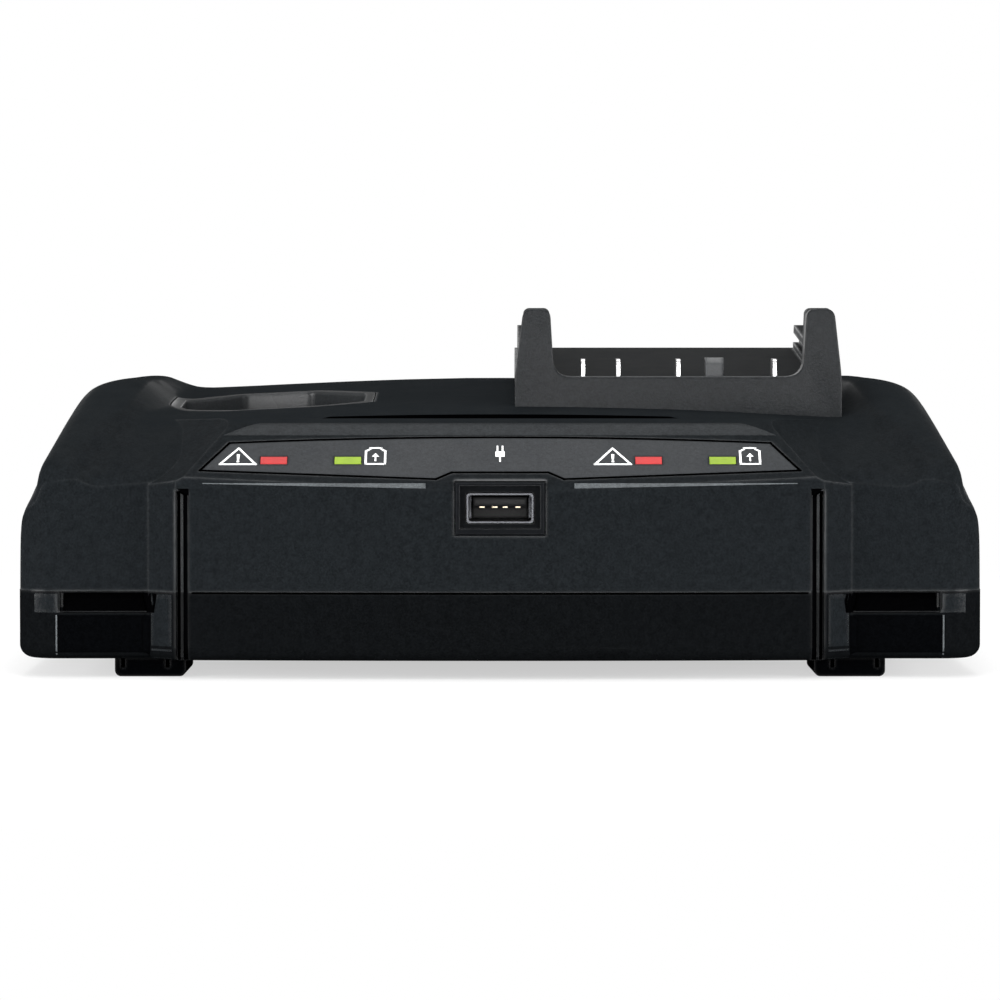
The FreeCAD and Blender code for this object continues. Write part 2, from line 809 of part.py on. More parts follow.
def slide_dock():
    """The raised dock: sloped floor, front bar, two horns and two grooved rails."""
    x0 = s.dock_x - s.dock_width / 2
    x1 = s.dock_x + s.dock_width / 2
    start, end = s.dock_start, s.dock_end
    bar_end = start + s.dock_bar_length
    low = s.deck_height - 14.0
    body = side_profile(x0, x1, [
        (start + 1.0, low), (start + 1.0, dock_floor_z(start)), (end, dock_floor_z(end)),
        (end + 5.0, dock_floor_z(end) - 7.0), (end + 5.0, low),
    ])
    upright = [e for e in body.Edges if e.BoundBox.ZLength > 8.0 and e.BoundBox.YLength < 0.01]
    body = body.makeFillet(2.0, upright)
    bar = block(x0 + 0.3, x1 - 0.3, start, bar_end, low, s.dock_bar_height)
    rounds = [e for e in bar.Edges if e.BoundBox.YMax < y_at(start) + 0.01 and e.BoundBox.ZMin > low + 0.01]
    bar = bar.makeFillet(2.6, rounds)
    rail = side_profile(x0 + 0.6, x0 + 0.6 + s.rail_width, [
        (start + s.horn_length - 4.0, low), (start + s.horn_length - 4.0, dock_floor_z(start + 15.0) + s.rail_height),
        (end - 5.0, dock_floor_z(end - 5.0) + s.rail_height), (end - 2.0, dock_floor_z(end) + 1.0), (end - 2.0, low),
    ])
    groove_z = 1.4
    groove = side_profile(x0 + 0.6 + s.rail_width - s.rail_groove, x0 + 12.0, [
        (start + s.horn_length + 2.0, dock_floor_z(start + s.horn_length + 2.0) + groove_z),
        (start + s.horn_length + 2.0, dock_floor_z(start + s.horn_length + 2.0) + groove_z + 2.2),
        (end + 5.0, dock_floor_z(end + 5.0) + groove_z + 2.2), (end + 5.0, dock_floor_z(end + 5.0) + groove_z),
    ])
    rail = rail.cut(groove)
    ear = horn()
    dock = body.fuse([bar, ear, dock_mirrored(ear), rail, dock_mirrored(rail)])
    thick = s.dock_floor_thickness
    hollow = side_profile(x0 + thick + 3.0, x1 - thick - 3.0, [
        (start + thick + 1.2, low - 1.0), (start + thick + 1.2, dock_floor_z(start + thick + 1.2) - thick),
        (end - thick, dock_floor_z(end - thick) - thick), (end - thick, low - 1.0),
    ])
    slots = [blade_box(x, s.running_gap, low, s.horn_height) for x in BLADES]
    slots.append(detent_box(s.running_gap, low, s.horn_height))
    return dock.cut([OUTER, hollow, *slots])


def terminal_block():
    """The block under the dock's floor that holds the blades and guides the detent."""
    start = s.blade_start - 3.0
    end = s.blade_start + s.blade_length + 3.0
    thick = s.dock_floor_thickness
    top = dock_floor_z(start) - thick
    body = side_profile(BLADES[0] - 4.0, BLADES[-1] + 3.6, [
        (start, top - s.terminal_block_height), (start, top),
        (end, dock_floor_z(end) - thick), (end, top - s.terminal_block_height),
    ])
    cuts = [blade_box(x, 0.0, 0.0, s.horn_height) for x in BLADES]
    cuts.append(detent_box(s.running_gap + s.detent_shoulder, well_floor(), s.horn_height))
    return body.cut(cuts)


def terminal_foot():
    """Height of the terminal block's underside."""
    return dock_floor_z(s.blade_start - 3.0) - s.dock_floor_thickness - s.terminal_block_height


def well_floor():
    """Height of the detent well's floor, where the spring stands."""
    return terminal_foot() + 1.8


def terminal_posts():
    """Two upright posts that carry the terminal block on the main board."""
    board_top = s.board_height + s.board_thickness
    middle = s.blade_start + s.blade_length / 2
    return Part.makeCompound([
        post(x, middle + 3.0, board_top, terminal_foot(), 2.4) for x in (BLADES[0] + 12.0, BLADES[-1] - 7.0)
    ])


def dock_blades():
    """Four plated blades, each standing through the dock's floor."""
    foot = terminal_foot() - 2.5
    blades = []
    for x in BLADES:
        blade = blade_box(x, 0.0, foot, dock_floor_z(s.blade_start) + s.blade_rise)
        tip = [e for e in blade.Edges if e.BoundBox.ZMin > foot + 1.0 and e.BoundBox.YLength < 0.01]
        blades.append(blade.makeFillet(s.blade_thickness * 1.5, tip))
    return Part.makeCompound(blades)


def detent_shoulder_top():
    return dock_floor_z(s.blade_start) - s.dock_floor_thickness - 0.4


def pack_detent():
    """The sprung tongue: a tall nose through the floor, with a shoulder that stops it below."""
    top = dock_floor_z(s.blade_start) + s.detent_rise
    shoulder_top = detent_shoulder_top()
    nose = detent_box(0.0, shoulder_top - 1.0, top)
    front_top = [e for e in nose.Edges if e.BoundBox.ZMin > top - 0.01 and e.BoundBox.XLength > 1.0]
    nose = nose.makeChamfer(1.2, front_top)
    shoulder = detent_box(s.detent_shoulder, shoulder_top - s.detent_shoulder_height, shoulder_top)
    return nose.fuse(shoulder).removeSplitter()


def coil_line(radius, pitch, turns):
    """A helix about Z as pairs of tangent arcs, two for each quarter turn."""
    edges = []
    rise = pitch / (2 * math.pi)

    def place(angle):
        return Vector(radius * math.cos(angle), radius * math.sin(angle), rise * angle)

    def heading(angle):
        return Vector(-radius * math.sin(angle), radius * math.cos(angle), rise).normalize()

    def tangent_arc(start, corner, end):
        chord = (start + end) * 0.5
        height = (corner - chord).Length
        half = (end - start).Length / 2
        bend = (corner - start).Length * half / height
        sagitta = bend - math.sqrt(bend * bend - half * half)
        return Part.Arc(start, chord + (corner - chord) * (sagitta / height), end).toShape()

    for quarter in range(int(turns * 4)):
        a, b = quarter * math.pi / 2, (quarter + 1) * math.pi / 2
        start, end = place(a), place(b)
        across, along = end - start, heading(a) + heading(b)
        square = along.dot(along) - 4
        reach = across.dot(along)
        leg = (reach - math.sqrt(reach * reach - square * across.dot(across))) / square
        corner_a, corner_b = start + heading(a) * leg, end - heading(b) * leg
        joint = (corner_a + corner_b) * 0.5
        edges += [tangent_arc(start, corner_a, joint), tangent_arc(joint, corner_b, end)]
    return Part.Wire(edges), heading(0)


def detent_spring():
    """The coil spring between the tongue's shoulder and the well's floor."""
    wire = s.spring_wire
    z0 = well_floor() + wire / 2 + 0.05
    z1 = detent_shoulder_top() - s.detent_shoulder_height - wire / 2 - 0.05
    path, direction = coil_line(s.spring_radius, (z1 - z0) / s.spring_turns, s.spring_turns)
    ring = Part.Wire(Part.makeCircle(wire / 2, Vector(s.spring_radius, 0, 0), direction))
    coil = path.makePipeShell([ring], True, False)
    coil.translate(Vector(s.detent_x, y_at(s.blade_start + s.detent_length / 2), z0))
    return coil


# Outlet
def outlet_bezel():
    """The square collar round the outlet, with a stepped recess."""
    half = s.bezel_width / 2
    low = s.outlet_height - s.bezel_height / 2
    high = s.outlet_height + s.bezel_height / 2
    rim = 0.9
    collar = block(-half, half, -s.bezel_proud, s.bezel_length, low, high)
    front = [e for e in collar.Edges if e.BoundBox.YMax < y_at(-s.bezel_proud) + 0.01]
    collar = collar.makeChamfer(0.35, front)
    recess = block(-half + rim, half - rim, -s.bezel_proud - 1, s.bezel_recess, low + 1.3, high - 0.8)
    mouth = outlet_box(0.15, -2.0, s.bezel_length + 1.0)
    return collar.cut([recess, mouth])


def outlet_box(margin, depth0, depth1):
    half = s.outlet_width / 2 + margin
    tall = s.outlet_shell_height / 2 + margin
    box = block(-half, half, depth0, depth1, s.outlet_height - tall, s.outlet_height + tall)
    along = [e for e in box.Edges if e.BoundBox.YLength > 1.0]
    return box.makeFillet(0.6, along)


def outlet_start():
    return s.bezel_recess - 0.6


def outlet_shell():
    """The pressed metal shell, open in front."""
    start = outlet_start()
    shell = outlet_box(0.0, start, start + s.outlet_length)
    inside = outlet_box(-s.outlet_metal, start - 1.0, start + s.outlet_length - 1.2)
    return shell.cut(inside)


def outlet_tongue():
    """The plastic tongue in the outlet, on its rear block."""
    start = outlet_start()
    half = s.outlet_width / 2 - s.outlet_metal
    tall = s.outlet_shell_height / 2 - s.outlet_metal
    back = start + s.outlet_length - 1.2
    rear = block(-half + 0.5, half - 0.5, back - 3.0, back, s.outlet_height - tall, s.outlet_height + tall)
    tongue = block(-half + 0.9, half - 0.9, start + 1.6, back - 2.0, s.outlet_height + 0.3, s.outlet_height + 2.1)
    return rear.fuse(tongue).cut(Part.makeCompound(outlet_contact_boxes()))


def outlet_contact_boxes():
    start = outlet_start()
    back = start + s.outlet_length - 1.2
    return [
        block(x - 0.5, x + 0.5, start + 2.4, back - 3.0, s.outlet_height, s.outlet_height + 0.6)
        for x in (-3.5, -1.0, 1.0, 3.5)
    ]


# Boards and what stands on them
def board_top():
    return s.board_height + s.board_thickness


def main_board():
    board = block(-board_half(), board_half(), s.board_start, board_end(), s.board_height, board_top())
    return board.cut([post(x, depth, 0, board_top(), s.board_screw_radius + 0.1) for x, depth in board_screws()])


def front_board():
    top = front_board_top()
    half = s.front_board_width / 2
    board = block(-half, half, 5.4, 5.4 + s.front_board_length, top - s.board_thickness, top)
    holes = [post(side * s.front_board_screw_x, s.front_board_screw_depth, 0, 60, 1.2) for side in (-1, 1)]
    return board.cut(holes)


def screw(x, depth, seat, length, radius, head_radius, head, up=1):
    """A pan-head screw driven upward (up = 1) or downward (up = -1) from its seat, cross-slotted."""
    z0, z1 = sorted((seat, seat + up * length))
    shaft = post(x, depth, z0, z1, radius)
    cap_z0, cap_z1 = sorted((seat - up * head, seat))
    cap = post(x, depth, cap_z0, cap_z1, head_radius)
    outer = seat - up * head
    inner = outer + up * head * 0.55
    z_low, z_high = sorted((outer, inner))
    slots = [
        block(x - head_radius * 0.6, x + head_radius * 0.6, depth - 0.35, depth + 0.35, z_low, z_high),
        block(x - 0.35, x + 0.35, depth - head_radius * 0.6, depth + head_radius * 0.6, z_low, z_high),
    ]
    return shaft.fuse(cap).cut(slots)


def housing_screws():
    seat = s.foot_height + s.screw_head_recess + 2.2
    return Part.makeCompound([
        screw(x, depth, seat, s.parting_height - seat + 9.0, s.screw_radius, s.screw_head_radius, 2.0)
        for x, depth in screw_places()
    ])


def board_screw_set():
    return Part.makeCompound([
        screw(x, depth, board_top(), 4.2, 0.88, 2.2, 1.4, up=-1) for x, depth in board_screws()
    ])


def front_board_screws():
    seat = front_board_top() - s.board_thickness
    return Part.makeCompound([
        screw(side * s.front_board_screw_x, s.front_board_screw_depth, seat, 5.0, 0.88, 2.2, 1.4)
        for side in (-1, 1)
    ])


def foot(x, depth):
    """A rubber foot with two narrow slots right through, pinned into the base."""
    half = s.foot_width / 2
    pad = block(x - half, x + half, depth, depth + s.foot_length, 0.0, s.foot_height)
    round_edges = [e for e in pad.Edges if e.BoundBox.YLength > 1.0 and e.BoundBox.ZMax < 0.01]
    pad = pad.makeFillet(1.2, round_edges)
    side = 1 if x > 0 else -1
    slots = []
    for offset in (s.foot_slot_outer, -s.foot_slot_inner):
        centre = x + side * offset
        slots.append(block(
            centre - s.foot_slot_width / 2, centre + s.foot_slot_width / 2,
            depth - 1, depth + s.foot_length + 1, s.foot_sole, s.foot_sole + s.foot_slot_height,
        ))
    pins = [
        post(x + n * s.foot_width / 4, depth + s.foot_length / 2, s.foot_height - 1.0,
             s.foot_height + s.wall + 0.8, s.foot_pin)
        for n in (-1, 1)
    ]
    return pad.cut(slots).fuse(pins)


def cord_gland():
    """The rubber bush in the back wall, halved by neither shell, that a cord passes through."""
    back = s.body_depth + s.bezel_proud
    start = back - s.gland_length

    def along(depth0, depth1, radius):
        return Part.makeCylinder(
            radius, depth1 - depth0, Vector(s.gland_x, y_at(depth0), s.parting_height), Vector(0, 1, 0)
        )

    inner = s.body_depth - s.wall - 0.2
    bush = along(start, back, s.gland_radius).fuse(along(inner - s.gland_flange, inner, s.gland_flange_radius))
    return bush.cut(along(start - 1, back + 1, s.gland_bore_radius))


def toroid_choke():
    """The mains choke: a ring core wound with two sets of turns, lying on the board."""
    centre = Vector(s.choke_x, y_at(s.choke_depth), board_top() + 4.85)
    core = Part.makeTorus(s.choke_radius, s.choke_core_radius, centre, Vector(0, 0, 1))
    return core


def choke_turns():
    """Rings of wire round the choke's core, in two groups."""
    turns = []
    count = 7
    for group in (0, 180):
        for n in range(count):
            angle = math.radians(group + (n - (count - 1) / 2) * 18)
            spot = Vector(
                s.choke_x + s.choke_radius * math.cos(angle),
                y_at(s.choke_depth) + s.choke_radius * math.sin(angle),
                board_top() + 4.85,
            )
            direction = Vector(-math.sin(angle), math.cos(angle), 0)
            turns.append(Part.makeTorus(s.choke_core_radius + 0.75, 0.6, spot, direction))
    return Part.makeCompound(turns)


def transformer_core():
    """Two E-shaped ferrite halves round the bobbin."""
    x, depth, z = s.transformer_x, s.transformer_depth, board_top() + 1.5
    wide, long, tall = 30.0, 26.0, 22.0
    body = block(x - wide / 2, x + wide / 2, depth - long / 2, depth + long / 2, z, z + tall)
    body = body.cut(block(x - wide / 2 + 5, x + wide / 2 - 5, depth - long, depth + long, z + 5, z + tall - 5))
    return body.fuse(block(x - 4, x + 4, depth - long / 2, depth + long / 2, z + 4, z + tall - 4))


def transformer_winding():
    """The taped winding round the core's middle leg, with its pin rail."""
    x, depth, z = s.transformer_x, s.transformer_depth, board_top() + 1.5
    outer = block(x - 9.7, x + 9.7, depth - 16.0, depth + 16.0, z + 5.2, z + 16.8)
    outer = outer.cut(block(x - 4.1, x + 4.1, depth - 13.1, depth + 13.1, z + 5.0, z + 17.0))
    rails = [
        block(x - 9.7, x + 9.7, depth + side * 15.0 - 1.8, depth + side * 15.0 + 1.8, board_top(), z + 5.2)
        for side in (-1, 1)
    ]
    return outer.fuse(rails)


def heat_sink():
    """A finned aluminium angle that stands on the board."""
    x, depth = s.sink_x, s.sink_depth
    spine = block(x, x + 2.0, depth, depth + 34.0, board_top(), board_top() + 26.0)
    fins = [
        block(x + 1.0, x + 6.5, depth + n * 5.2, depth + n * 5.2 + 1.2, board_top() + 2.0, board_top() + 26.0)
        for n in range(7)
    ]
    return spine.fuse(fins)


def power_transistors():
    x = s.sink_x
    parts = []
    for n in range(2):
        depth = s.sink_depth + 4.0 + n * 15.0
        body = block(x - 4.4, x, depth, depth + 10.0, board_top() + 8.0, board_top() + 23.0)
        legs = [
            block(x - 2.8, x - 2.2, depth + 2.2 + k * 2.5, depth + 2.8 + k * 2.5, board_top(), board_top() + 8.5)
            for k in range(3)
        ]
        parts.append(body.fuse(legs))
    return Part.makeCompound(parts)


def light_chips():
    """The four light-emitting chips under the light bars."""
    top = front_board_top()
    middle = s.lens_depth_from_front
    return Part.makeCompound([
        block(x - 1.6, x + 1.6, middle - 0.8, middle + 0.8, top, top + 1.9)
        for places in lens_places().values() for x in places
    ])


def lenses(colour):
    low = front_board_top() + 2.0
    cap = under_panel(0.0)
    return Part.makeCompound([lens_prism(x, 0.0, low, s.horn_height).common(cap) for x in lens_places()[colour]])


def label():
    cuts = [lens_prism(x, 0.12, 30.0, s.horn_height) for places in lens_places().values() for x in places]
    return label_solid(0.0, s.label_thickness, s.label_thickness).cut(cuts)


def wire_run(points, radius):
    """A held wire: straight runs joined by tangent arcs."""
    edges = []
    last = points[0]
    for before, here, after in zip(points, points[1:], points[2:]):
        inward = (before - here).normalize()
        outward = (after - here).normalize()
        turn = math.pi - inward.getAngle(outward)
        bend = 0.45 * min(before.distanceToPoint(here), here.distanceToPoint(after)) / math.tan(turn / 2)
        reach = bend * math.tan(turn / 2)
        start, end = here + inward * reach, here + outward * reach
        middle_way = (inward + outward).normalize()
        middle = here + middle_way * (bend / math.cos(turn / 2) - bend)
        edges.append(Part.LineSegment(last, start).toShape())
        edges.append(Part.Arc(start, middle, end).toShape())
        last = end
    edges.append(Part.LineSegment(last, points[-1]).toShape())
    path = Part.Wire(edges)
    ring = Part.Wire(Part.makeCircle(radius, points[0], points[1] - points[0]))
    return path.makePipeShell([ring], True, False)


def dock_wires():
    """Two insulated wires from the board up to the outer blades."""
    wires = []
    for x, start_x in ((BLADES[0], 12.0), (BLADES[-1], 54.0)):
        blade_foot = terminal_foot() - 2.5
        middle = s.blade_start + s.blade_length / 2
        depth0 = 38.0
        points = [
            Vector(start_x, y_at(depth0), board_top()),
            Vector(start_x, y_at(depth0), board_top() + 9.0),
            Vector(x, y_at(middle), blade_foot - 9.0),
            Vector(x, y_at(middle), blade_foot),
        ]
        wires.append(wire_run(points, 0.9))
    return Part.makeCompound(wires)


for name, shape in [
    ("pod_socket", pod_socket()),
    ("pod_blades", Part.makeCompound([pod_blade(x, 0.0) for x in pod_blade_places()])),
    ("slide_dock", slide_dock()),
    ("terminal_block", terminal_block()),
    ("terminal_posts", terminal_posts()),
    ("dock_blades", dock_blades()),
    ("pack_detent", pack_detent()),
    ("detent_spring", detent_spring()),
    ("outlet_bezel", outlet_bezel()),
    ("outlet_shell", outlet_shell()),
    ("outlet_tongue", outlet_tongue()),
    ("outlet_contacts", Part.makeCompound(outlet_contact_boxes())),
    ("panel_label", label()),
    ("red_lenses", lenses("red")),
    ("green_lenses", lenses("green")),
    ("light_chips", light_chips()),
    ("main_board", main_board()),
    ("front_board", front_board()),
    ("housing_screws", housing_screws()),
    ("board_screws", board_screw_set()),
    ("front_board_screws", front_board_screws()),
    ("cord_gland", cord_gland()),
    ("choke_core", toroid_choke()),
    ("choke_turns", choke_turns()),
    ("transformer_core", transformer_core()),
    ("transformer_winding", transformer_winding()),
    ("heat_sink", heat_sink()),
    ("power_transistors", power_transistors()),
    ("dock_wires", dock_wires()),
]:
    feature(name, shape)

for (x, depth), place in zip(foot_places(), ("front_left", "front_right", "back_left", "back_right")):
    feature(f"foot_{place}", foot(x, depth))

# Stock parts on the board, as bound primitives
BOARD_TOP = "sizes.board_height + sizes.board_thickness"
keep(bound(
    "Part::Cylinder", "bulk_capacitor",
    ("sizes.capacitor_x", depth_text("sizes.capacitor_depth"), BOARD_TOP),
    Radius="sizes.capacitor_radius", Height="sizes.capacitor_height",
))
keep(bound(
    "Part::Box", "film_capacitor",
    ("sizes.film_x", depth_text("sizes.film_depth"), BOARD_TOP),
    Length="sizes.film_width", Width="sizes.film_length", Height="sizes.film_height",
))
keep(bound(
    "Part::Box", "fuse_holder",
    ("sizes.fuse_x", depth_text("sizes.fuse_depth"), BOARD_TOP),
    Length="sizes.fuse_width", Width="sizes.fuse_length", Height="sizes.fuse_height",
))
keep(bound(
    "Part::Box", "bridge_rectifier",
    ("sizes.bridge_x", depth_text("sizes.bridge_depth"), BOARD_TOP),
    Length="sizes.bridge_width", Width="sizes.bridge_length", Height="sizes.bridge_height",
))
keep(bound(
    "Part::Box", "control_chip",
    ("sizes.chip_x", depth_text("sizes.chip_depth"), BOARD_TOP),
    Length="sizes.chip_size", Width="sizes.chip_size", Height="sizes.chip_height",
))
keep(bound(
    "Part::Box", "rating_plate",
    ("-sizes.plate_width / 2", depth_text("sizes.plate_depth"), "sizes.foot_height - sizes.plate_thickness"),
    Length="sizes.plate_width", Width="sizes.plate_length", Height="sizes.plate_thickness",
))
outputs = []
for n in range(3):
    outputs.append(bound(
        "Part::Cylinder", f"output_capacitor_{n}",
        (f"sizes.output_x + {n} * sizes.output_pitch", depth_text("sizes.output_depth"), BOARD_TOP),
        Radius="sizes.output_radius", Height="sizes.output_height",
    ))
doc.recompute()
feature("output_capacitors", Part.makeCompound([obj.Shape for obj in outputs]))

# Every object and shape is checked before any file is written
doc.recompute()
failed = [obj.Label for obj in doc.Objects if "Invalid" in obj.State or "Error" in obj.State]
failed += [piece.Label for piece in pieces if piece.Shape.isNull() or not piece.Shape.isValid()]
if failed:
    raise RuntimeError("failed: " + ", ".join(failed))

os.makedirs("parts", exist_ok=True)
for piece in pieces:
    piece.Shape.exportStep(f"parts/{piece.Label}.step")
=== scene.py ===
import json
import math

import bmesh
import bpy
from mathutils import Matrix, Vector
from mathutils.bvhtree import BVHTree


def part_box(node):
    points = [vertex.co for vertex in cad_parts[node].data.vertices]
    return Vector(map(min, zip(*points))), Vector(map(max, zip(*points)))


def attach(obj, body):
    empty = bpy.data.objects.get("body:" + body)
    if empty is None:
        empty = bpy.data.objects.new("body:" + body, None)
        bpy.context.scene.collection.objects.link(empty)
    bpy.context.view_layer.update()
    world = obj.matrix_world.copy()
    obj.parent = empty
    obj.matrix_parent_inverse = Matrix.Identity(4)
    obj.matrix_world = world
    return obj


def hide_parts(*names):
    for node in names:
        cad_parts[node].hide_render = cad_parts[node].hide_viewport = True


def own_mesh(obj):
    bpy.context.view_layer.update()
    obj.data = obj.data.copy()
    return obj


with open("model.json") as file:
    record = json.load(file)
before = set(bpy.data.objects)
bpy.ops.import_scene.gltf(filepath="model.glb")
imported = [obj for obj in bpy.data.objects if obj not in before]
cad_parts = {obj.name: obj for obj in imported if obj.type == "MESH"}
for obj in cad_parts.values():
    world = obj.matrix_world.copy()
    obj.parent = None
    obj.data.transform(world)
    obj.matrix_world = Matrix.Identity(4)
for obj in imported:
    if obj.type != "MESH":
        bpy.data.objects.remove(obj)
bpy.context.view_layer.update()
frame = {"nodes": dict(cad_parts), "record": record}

# Twin-bay battery charger, dressed for a studio picture. Metres, X right, Y back, Z up.

bl_info = {
    "name": "Twin-bay battery charger",
    "version": (1, 0, 0),
    "blender": (4, 5, 0),
    "location": "3D View > Sidebar > Charger",
    "description": "Finishes, panel artwork and studio for a twin-bay battery charger",
    "category": "Object",
}

MM = 0.001
# Where the base shell and the panel's film begin, seen from the front
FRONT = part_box("lower_housing")[0].y
FILM_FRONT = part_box("panel_label")[0].y
SIDES = ((-1, "left"), (1, "right"))
# How far a laid band stands out of the shell, and the share of that which is its thickness
BAND_LIFT = 0.00006
BAND_DEPTH = 0.9
# Gap between the panel's film and the ink
INK_GAP = 0.00001
DUST_COLOUR = (0.11, 0.11, 0.105)


# Sizes and colours that a user would change
class ChargerFinish(bpy.types.PropertyGroup):
    housing_colour: bpy.props.FloatVectorProperty(
        name="Housing", description="Colour of the textured housing plastic",
        subtype="COLOR", size=3, min=0, max=1, default=(0.0052, 0.0062, 0.0070),
    )
    base_colour: bpy.props.FloatVectorProperty(
        name="Base", description="Colour of the base shell's plastic",
        subtype="COLOR", size=3, min=0, max=1, default=(0.0022, 0.0025, 0.0028),
    )
    bay_colour: bpy.props.FloatVectorProperty(
        name="Bay", description="Colour of the slide-on bay's smoother plastic",
        subtype="COLOR", size=3, min=0, max=1, default=(0.0110, 0.0122, 0.0132),
    )
    label_colour: bpy.props.FloatVectorProperty(
        name="Label", description="Colour of the printed panel film",
        subtype="COLOR", size=3, min=0, max=1, default=(0.0150, 0.0165, 0.0182),
    )
    ink_colour: bpy.props.FloatVectorProperty(
        name="Ink", description="Colour of the pictograms",
        subtype="COLOR", size=3, min=0, max=1, default=(0.78, 0.80, 0.80),
    )
    red_colour: bpy.props.FloatVectorProperty(
        name="Red light", description="Colour of the red light bars",
        subtype="COLOR", size=3, min=0, max=1, default=(0.27, 0.022, 0.022),
    )
    green_colour: bpy.props.FloatVectorProperty(
        name="Green light", description="Colour of the green light bars",
        subtype="COLOR", size=3, min=0, max=1, default=(0.14, 0.21, 0.018),
    )
    metal_colour: bpy.props.FloatVectorProperty(
        name="Blades", description="Colour of the plated contact blades",
        subtype="COLOR", size=3, min=0, max=1, default=(0.42, 0.42, 0.42),
    )
    grain_size: bpy.props.FloatProperty(
        name="Grain size", description="Size of one grain of the moulded texture",
        unit="LENGTH", min=0.00005, default=0.00042,
    )
    # The edge round also sets the width of the lightened edges, partly worn and partly a painted
    # highlight
    edge_round: bpy.props.FloatProperty(
        name="Edge round", description="Radius of the worn moulded edges",
        unit="LENGTH", min=0.0, default=0.0011,
    )


class ChargerPanel(bpy.types.PropertyGroup):
    ink_thickness: bpy.props.FloatProperty(
        name="Ink thickness", description="How far the pictograms stand on the film",
        unit="LENGTH", min=0.00001, default=0.00004,
    )
    line_width: bpy.props.FloatProperty(
        name="Line width", description="Width of a pictogram's line",
        unit="LENGTH", min=0.0001, default=0.00042,
    )
    icon_height: bpy.props.FloatProperty(
        name="Pictogram height", description="Height of a pictogram on the panel's slope",
        unit="LENGTH", min=0.001, default=0.0050,
    )
    outline_width: bpy.props.FloatProperty(
        name="Outline width", description="Width of the dark line round the film",
        unit="LENGTH", min=0.0001, default=0.0005,
    )


class ChargerTrim(bpy.types.PropertyGroup):
    joint_height: bpy.props.FloatProperty(
        name="Joint height", description="Height of the joint between the two shells",
        unit="LENGTH", min=0.0, default=0.0170,
    )
    joint_width: bpy.props.FloatProperty(
        name="Joint width", description="Width of the dark line where the shells meet",
        unit="LENGTH", min=0.0001, default=0.0004,
    )
    catch_travel: bpy.props.FloatProperty(
        name="Catch travel", description="How far the catch goes down",
        unit="LENGTH", min=0.0, default=0.0045,
    )
    bay_depth: bpy.props.FloatProperty(
        name="Bay frame depth", description="Depth of the frame on the slide-on bay's bar and guides",
        unit="LENGTH", min=0.001, default=0.006,
    )
    bay_proud: bpy.props.FloatProperty(
        name="Bay frame step", description="How far the frame stands in front of the bay",
        unit="LENGTH", min=0.0, default=0.0002,
    )
    bay_round: bpy.props.FloatProperty(
        name="Bay round", description="Radius on the front rim of the bay's frame",
        unit="LENGTH", min=0.0001, default=0.0027,
    )


class ChargerStage(bpy.types.PropertyGroup):
    camera_distance: bpy.props.FloatProperty(
        name="Camera distance", description="From the front face to the camera",
        unit="LENGTH", min=0.1, default=0.9,
    )
    camera_height: bpy.props.FloatProperty(
        name="Camera height", description="Height of the camera over the floor",
        unit="LENGTH", min=0.0, default=0.070,
    )
    camera_pitch: bpy.props.FloatProperty(
        name="Camera pitch", description="How far the camera looks down",
        subtype="ANGLE", default=math.radians(2.21),
    )
    focal_length: bpy.props.FloatProperty(
        name="Focal length", description="Focal length of the lens in millimetres",
        min=20.0, default=166.7,
    )
    light_level: bpy.props.FloatProperty(
        name="Light level", description="Brightness of the lamps and the sky together",
        min=0.0, default=1.0,
    )


# Shader node groups
def new_group(name, inputs, outputs):
    """An empty shader node group with named sockets."""
    group = bpy.data.node_groups.new(name, "ShaderNodeTree")
    for label, kind, value in inputs:
        socket = group.interface.new_socket(label, in_out="INPUT", socket_type=kind)
        socket.default_value = value
    for label, kind in outputs:
        group.interface.new_socket(label, in_out="OUTPUT", socket_type=kind)
    return group, group.nodes.new("NodeGroupInput"), group.nodes.new("NodeGroupOutput")


def maths(tree, operation, first, second=None, third=None, clamp=False):
    """A Math node fed by sockets or plain numbers."""
    node = tree.nodes.new("ShaderNodeMath")
    node.operation = operation
    node.use_clamp = clamp
    for socket, value in zip(node.inputs, (first, second, third)):
        if isinstance(value, bpy.types.NodeSocket):
            tree.links.new(value, socket)
        elif value is not None:
            socket.default_value = value
    return node.outputs[0]


def object_place(tree):
    """The object's own coordinates, for a texture."""
    return tree.nodes.new("ShaderNodeTexCoord").outputs["Object"]


def noise(tree, vector, scale, detail=2.0, roughness=0.5):
    """A Noise texture; its scale is a number or a socket."""
    node = tree.nodes.new("ShaderNodeTexNoise")
    node.inputs["Detail"].default_value = detail
    node.inputs["Roughness"].default_value = roughness
    tree.links.new(vector, node.inputs["Vector"])
    if isinstance(scale, bpy.types.NodeSocket):
        tree.links.new(scale, node.inputs["Scale"])
    else:
        node.inputs["Scale"].default_value = scale
    return node.outputs["Fac"]


def grain_group():
    """Spark-eroded mould texture: fine grain, with a slow change of tone."""
    group, given, result = new_group(
        "moulded_grain",
        [("Grain size", "NodeSocketFloat", 0.0004), ("Patch size", "NodeSocketFloat", 0.02)],
        [("Height", "NodeSocketFloat"), ("Speckle", "NodeSocketFloat"), ("Patch", "NodeSocketFloat")],
    )
    place = object_place(group)
    fine_scale = maths(group, "DIVIDE", 1.0, given.outputs["Grain size"])
    patch_scale = maths(group, "DIVIDE", 1.0, given.outputs["Patch size"])
    coarse_scale = maths(group, "MULTIPLY", fine_scale, 0.31)
    fine = maths(group, "MULTIPLY", noise(group, place, fine_scale, roughness=0.6), 0.7)
    coarse = maths(group, "MULTIPLY", noise(group, place, coarse_scale, detail=1.0), 0.3)
    height = maths(group, "ADD", fine, coarse)
    speckle = maths(group, "MULTIPLY_ADD", height, 3.2, -1.1, clamp=True)
    group.links.new(height, result.inputs["Height"])
    group.links.new(speckle, result.inputs["Speckle"])
    patch = noise(group, place, patch_scale, detail=3.0, roughness=0.55)
    group.links.new(patch, result.inputs["Patch"])
    return group


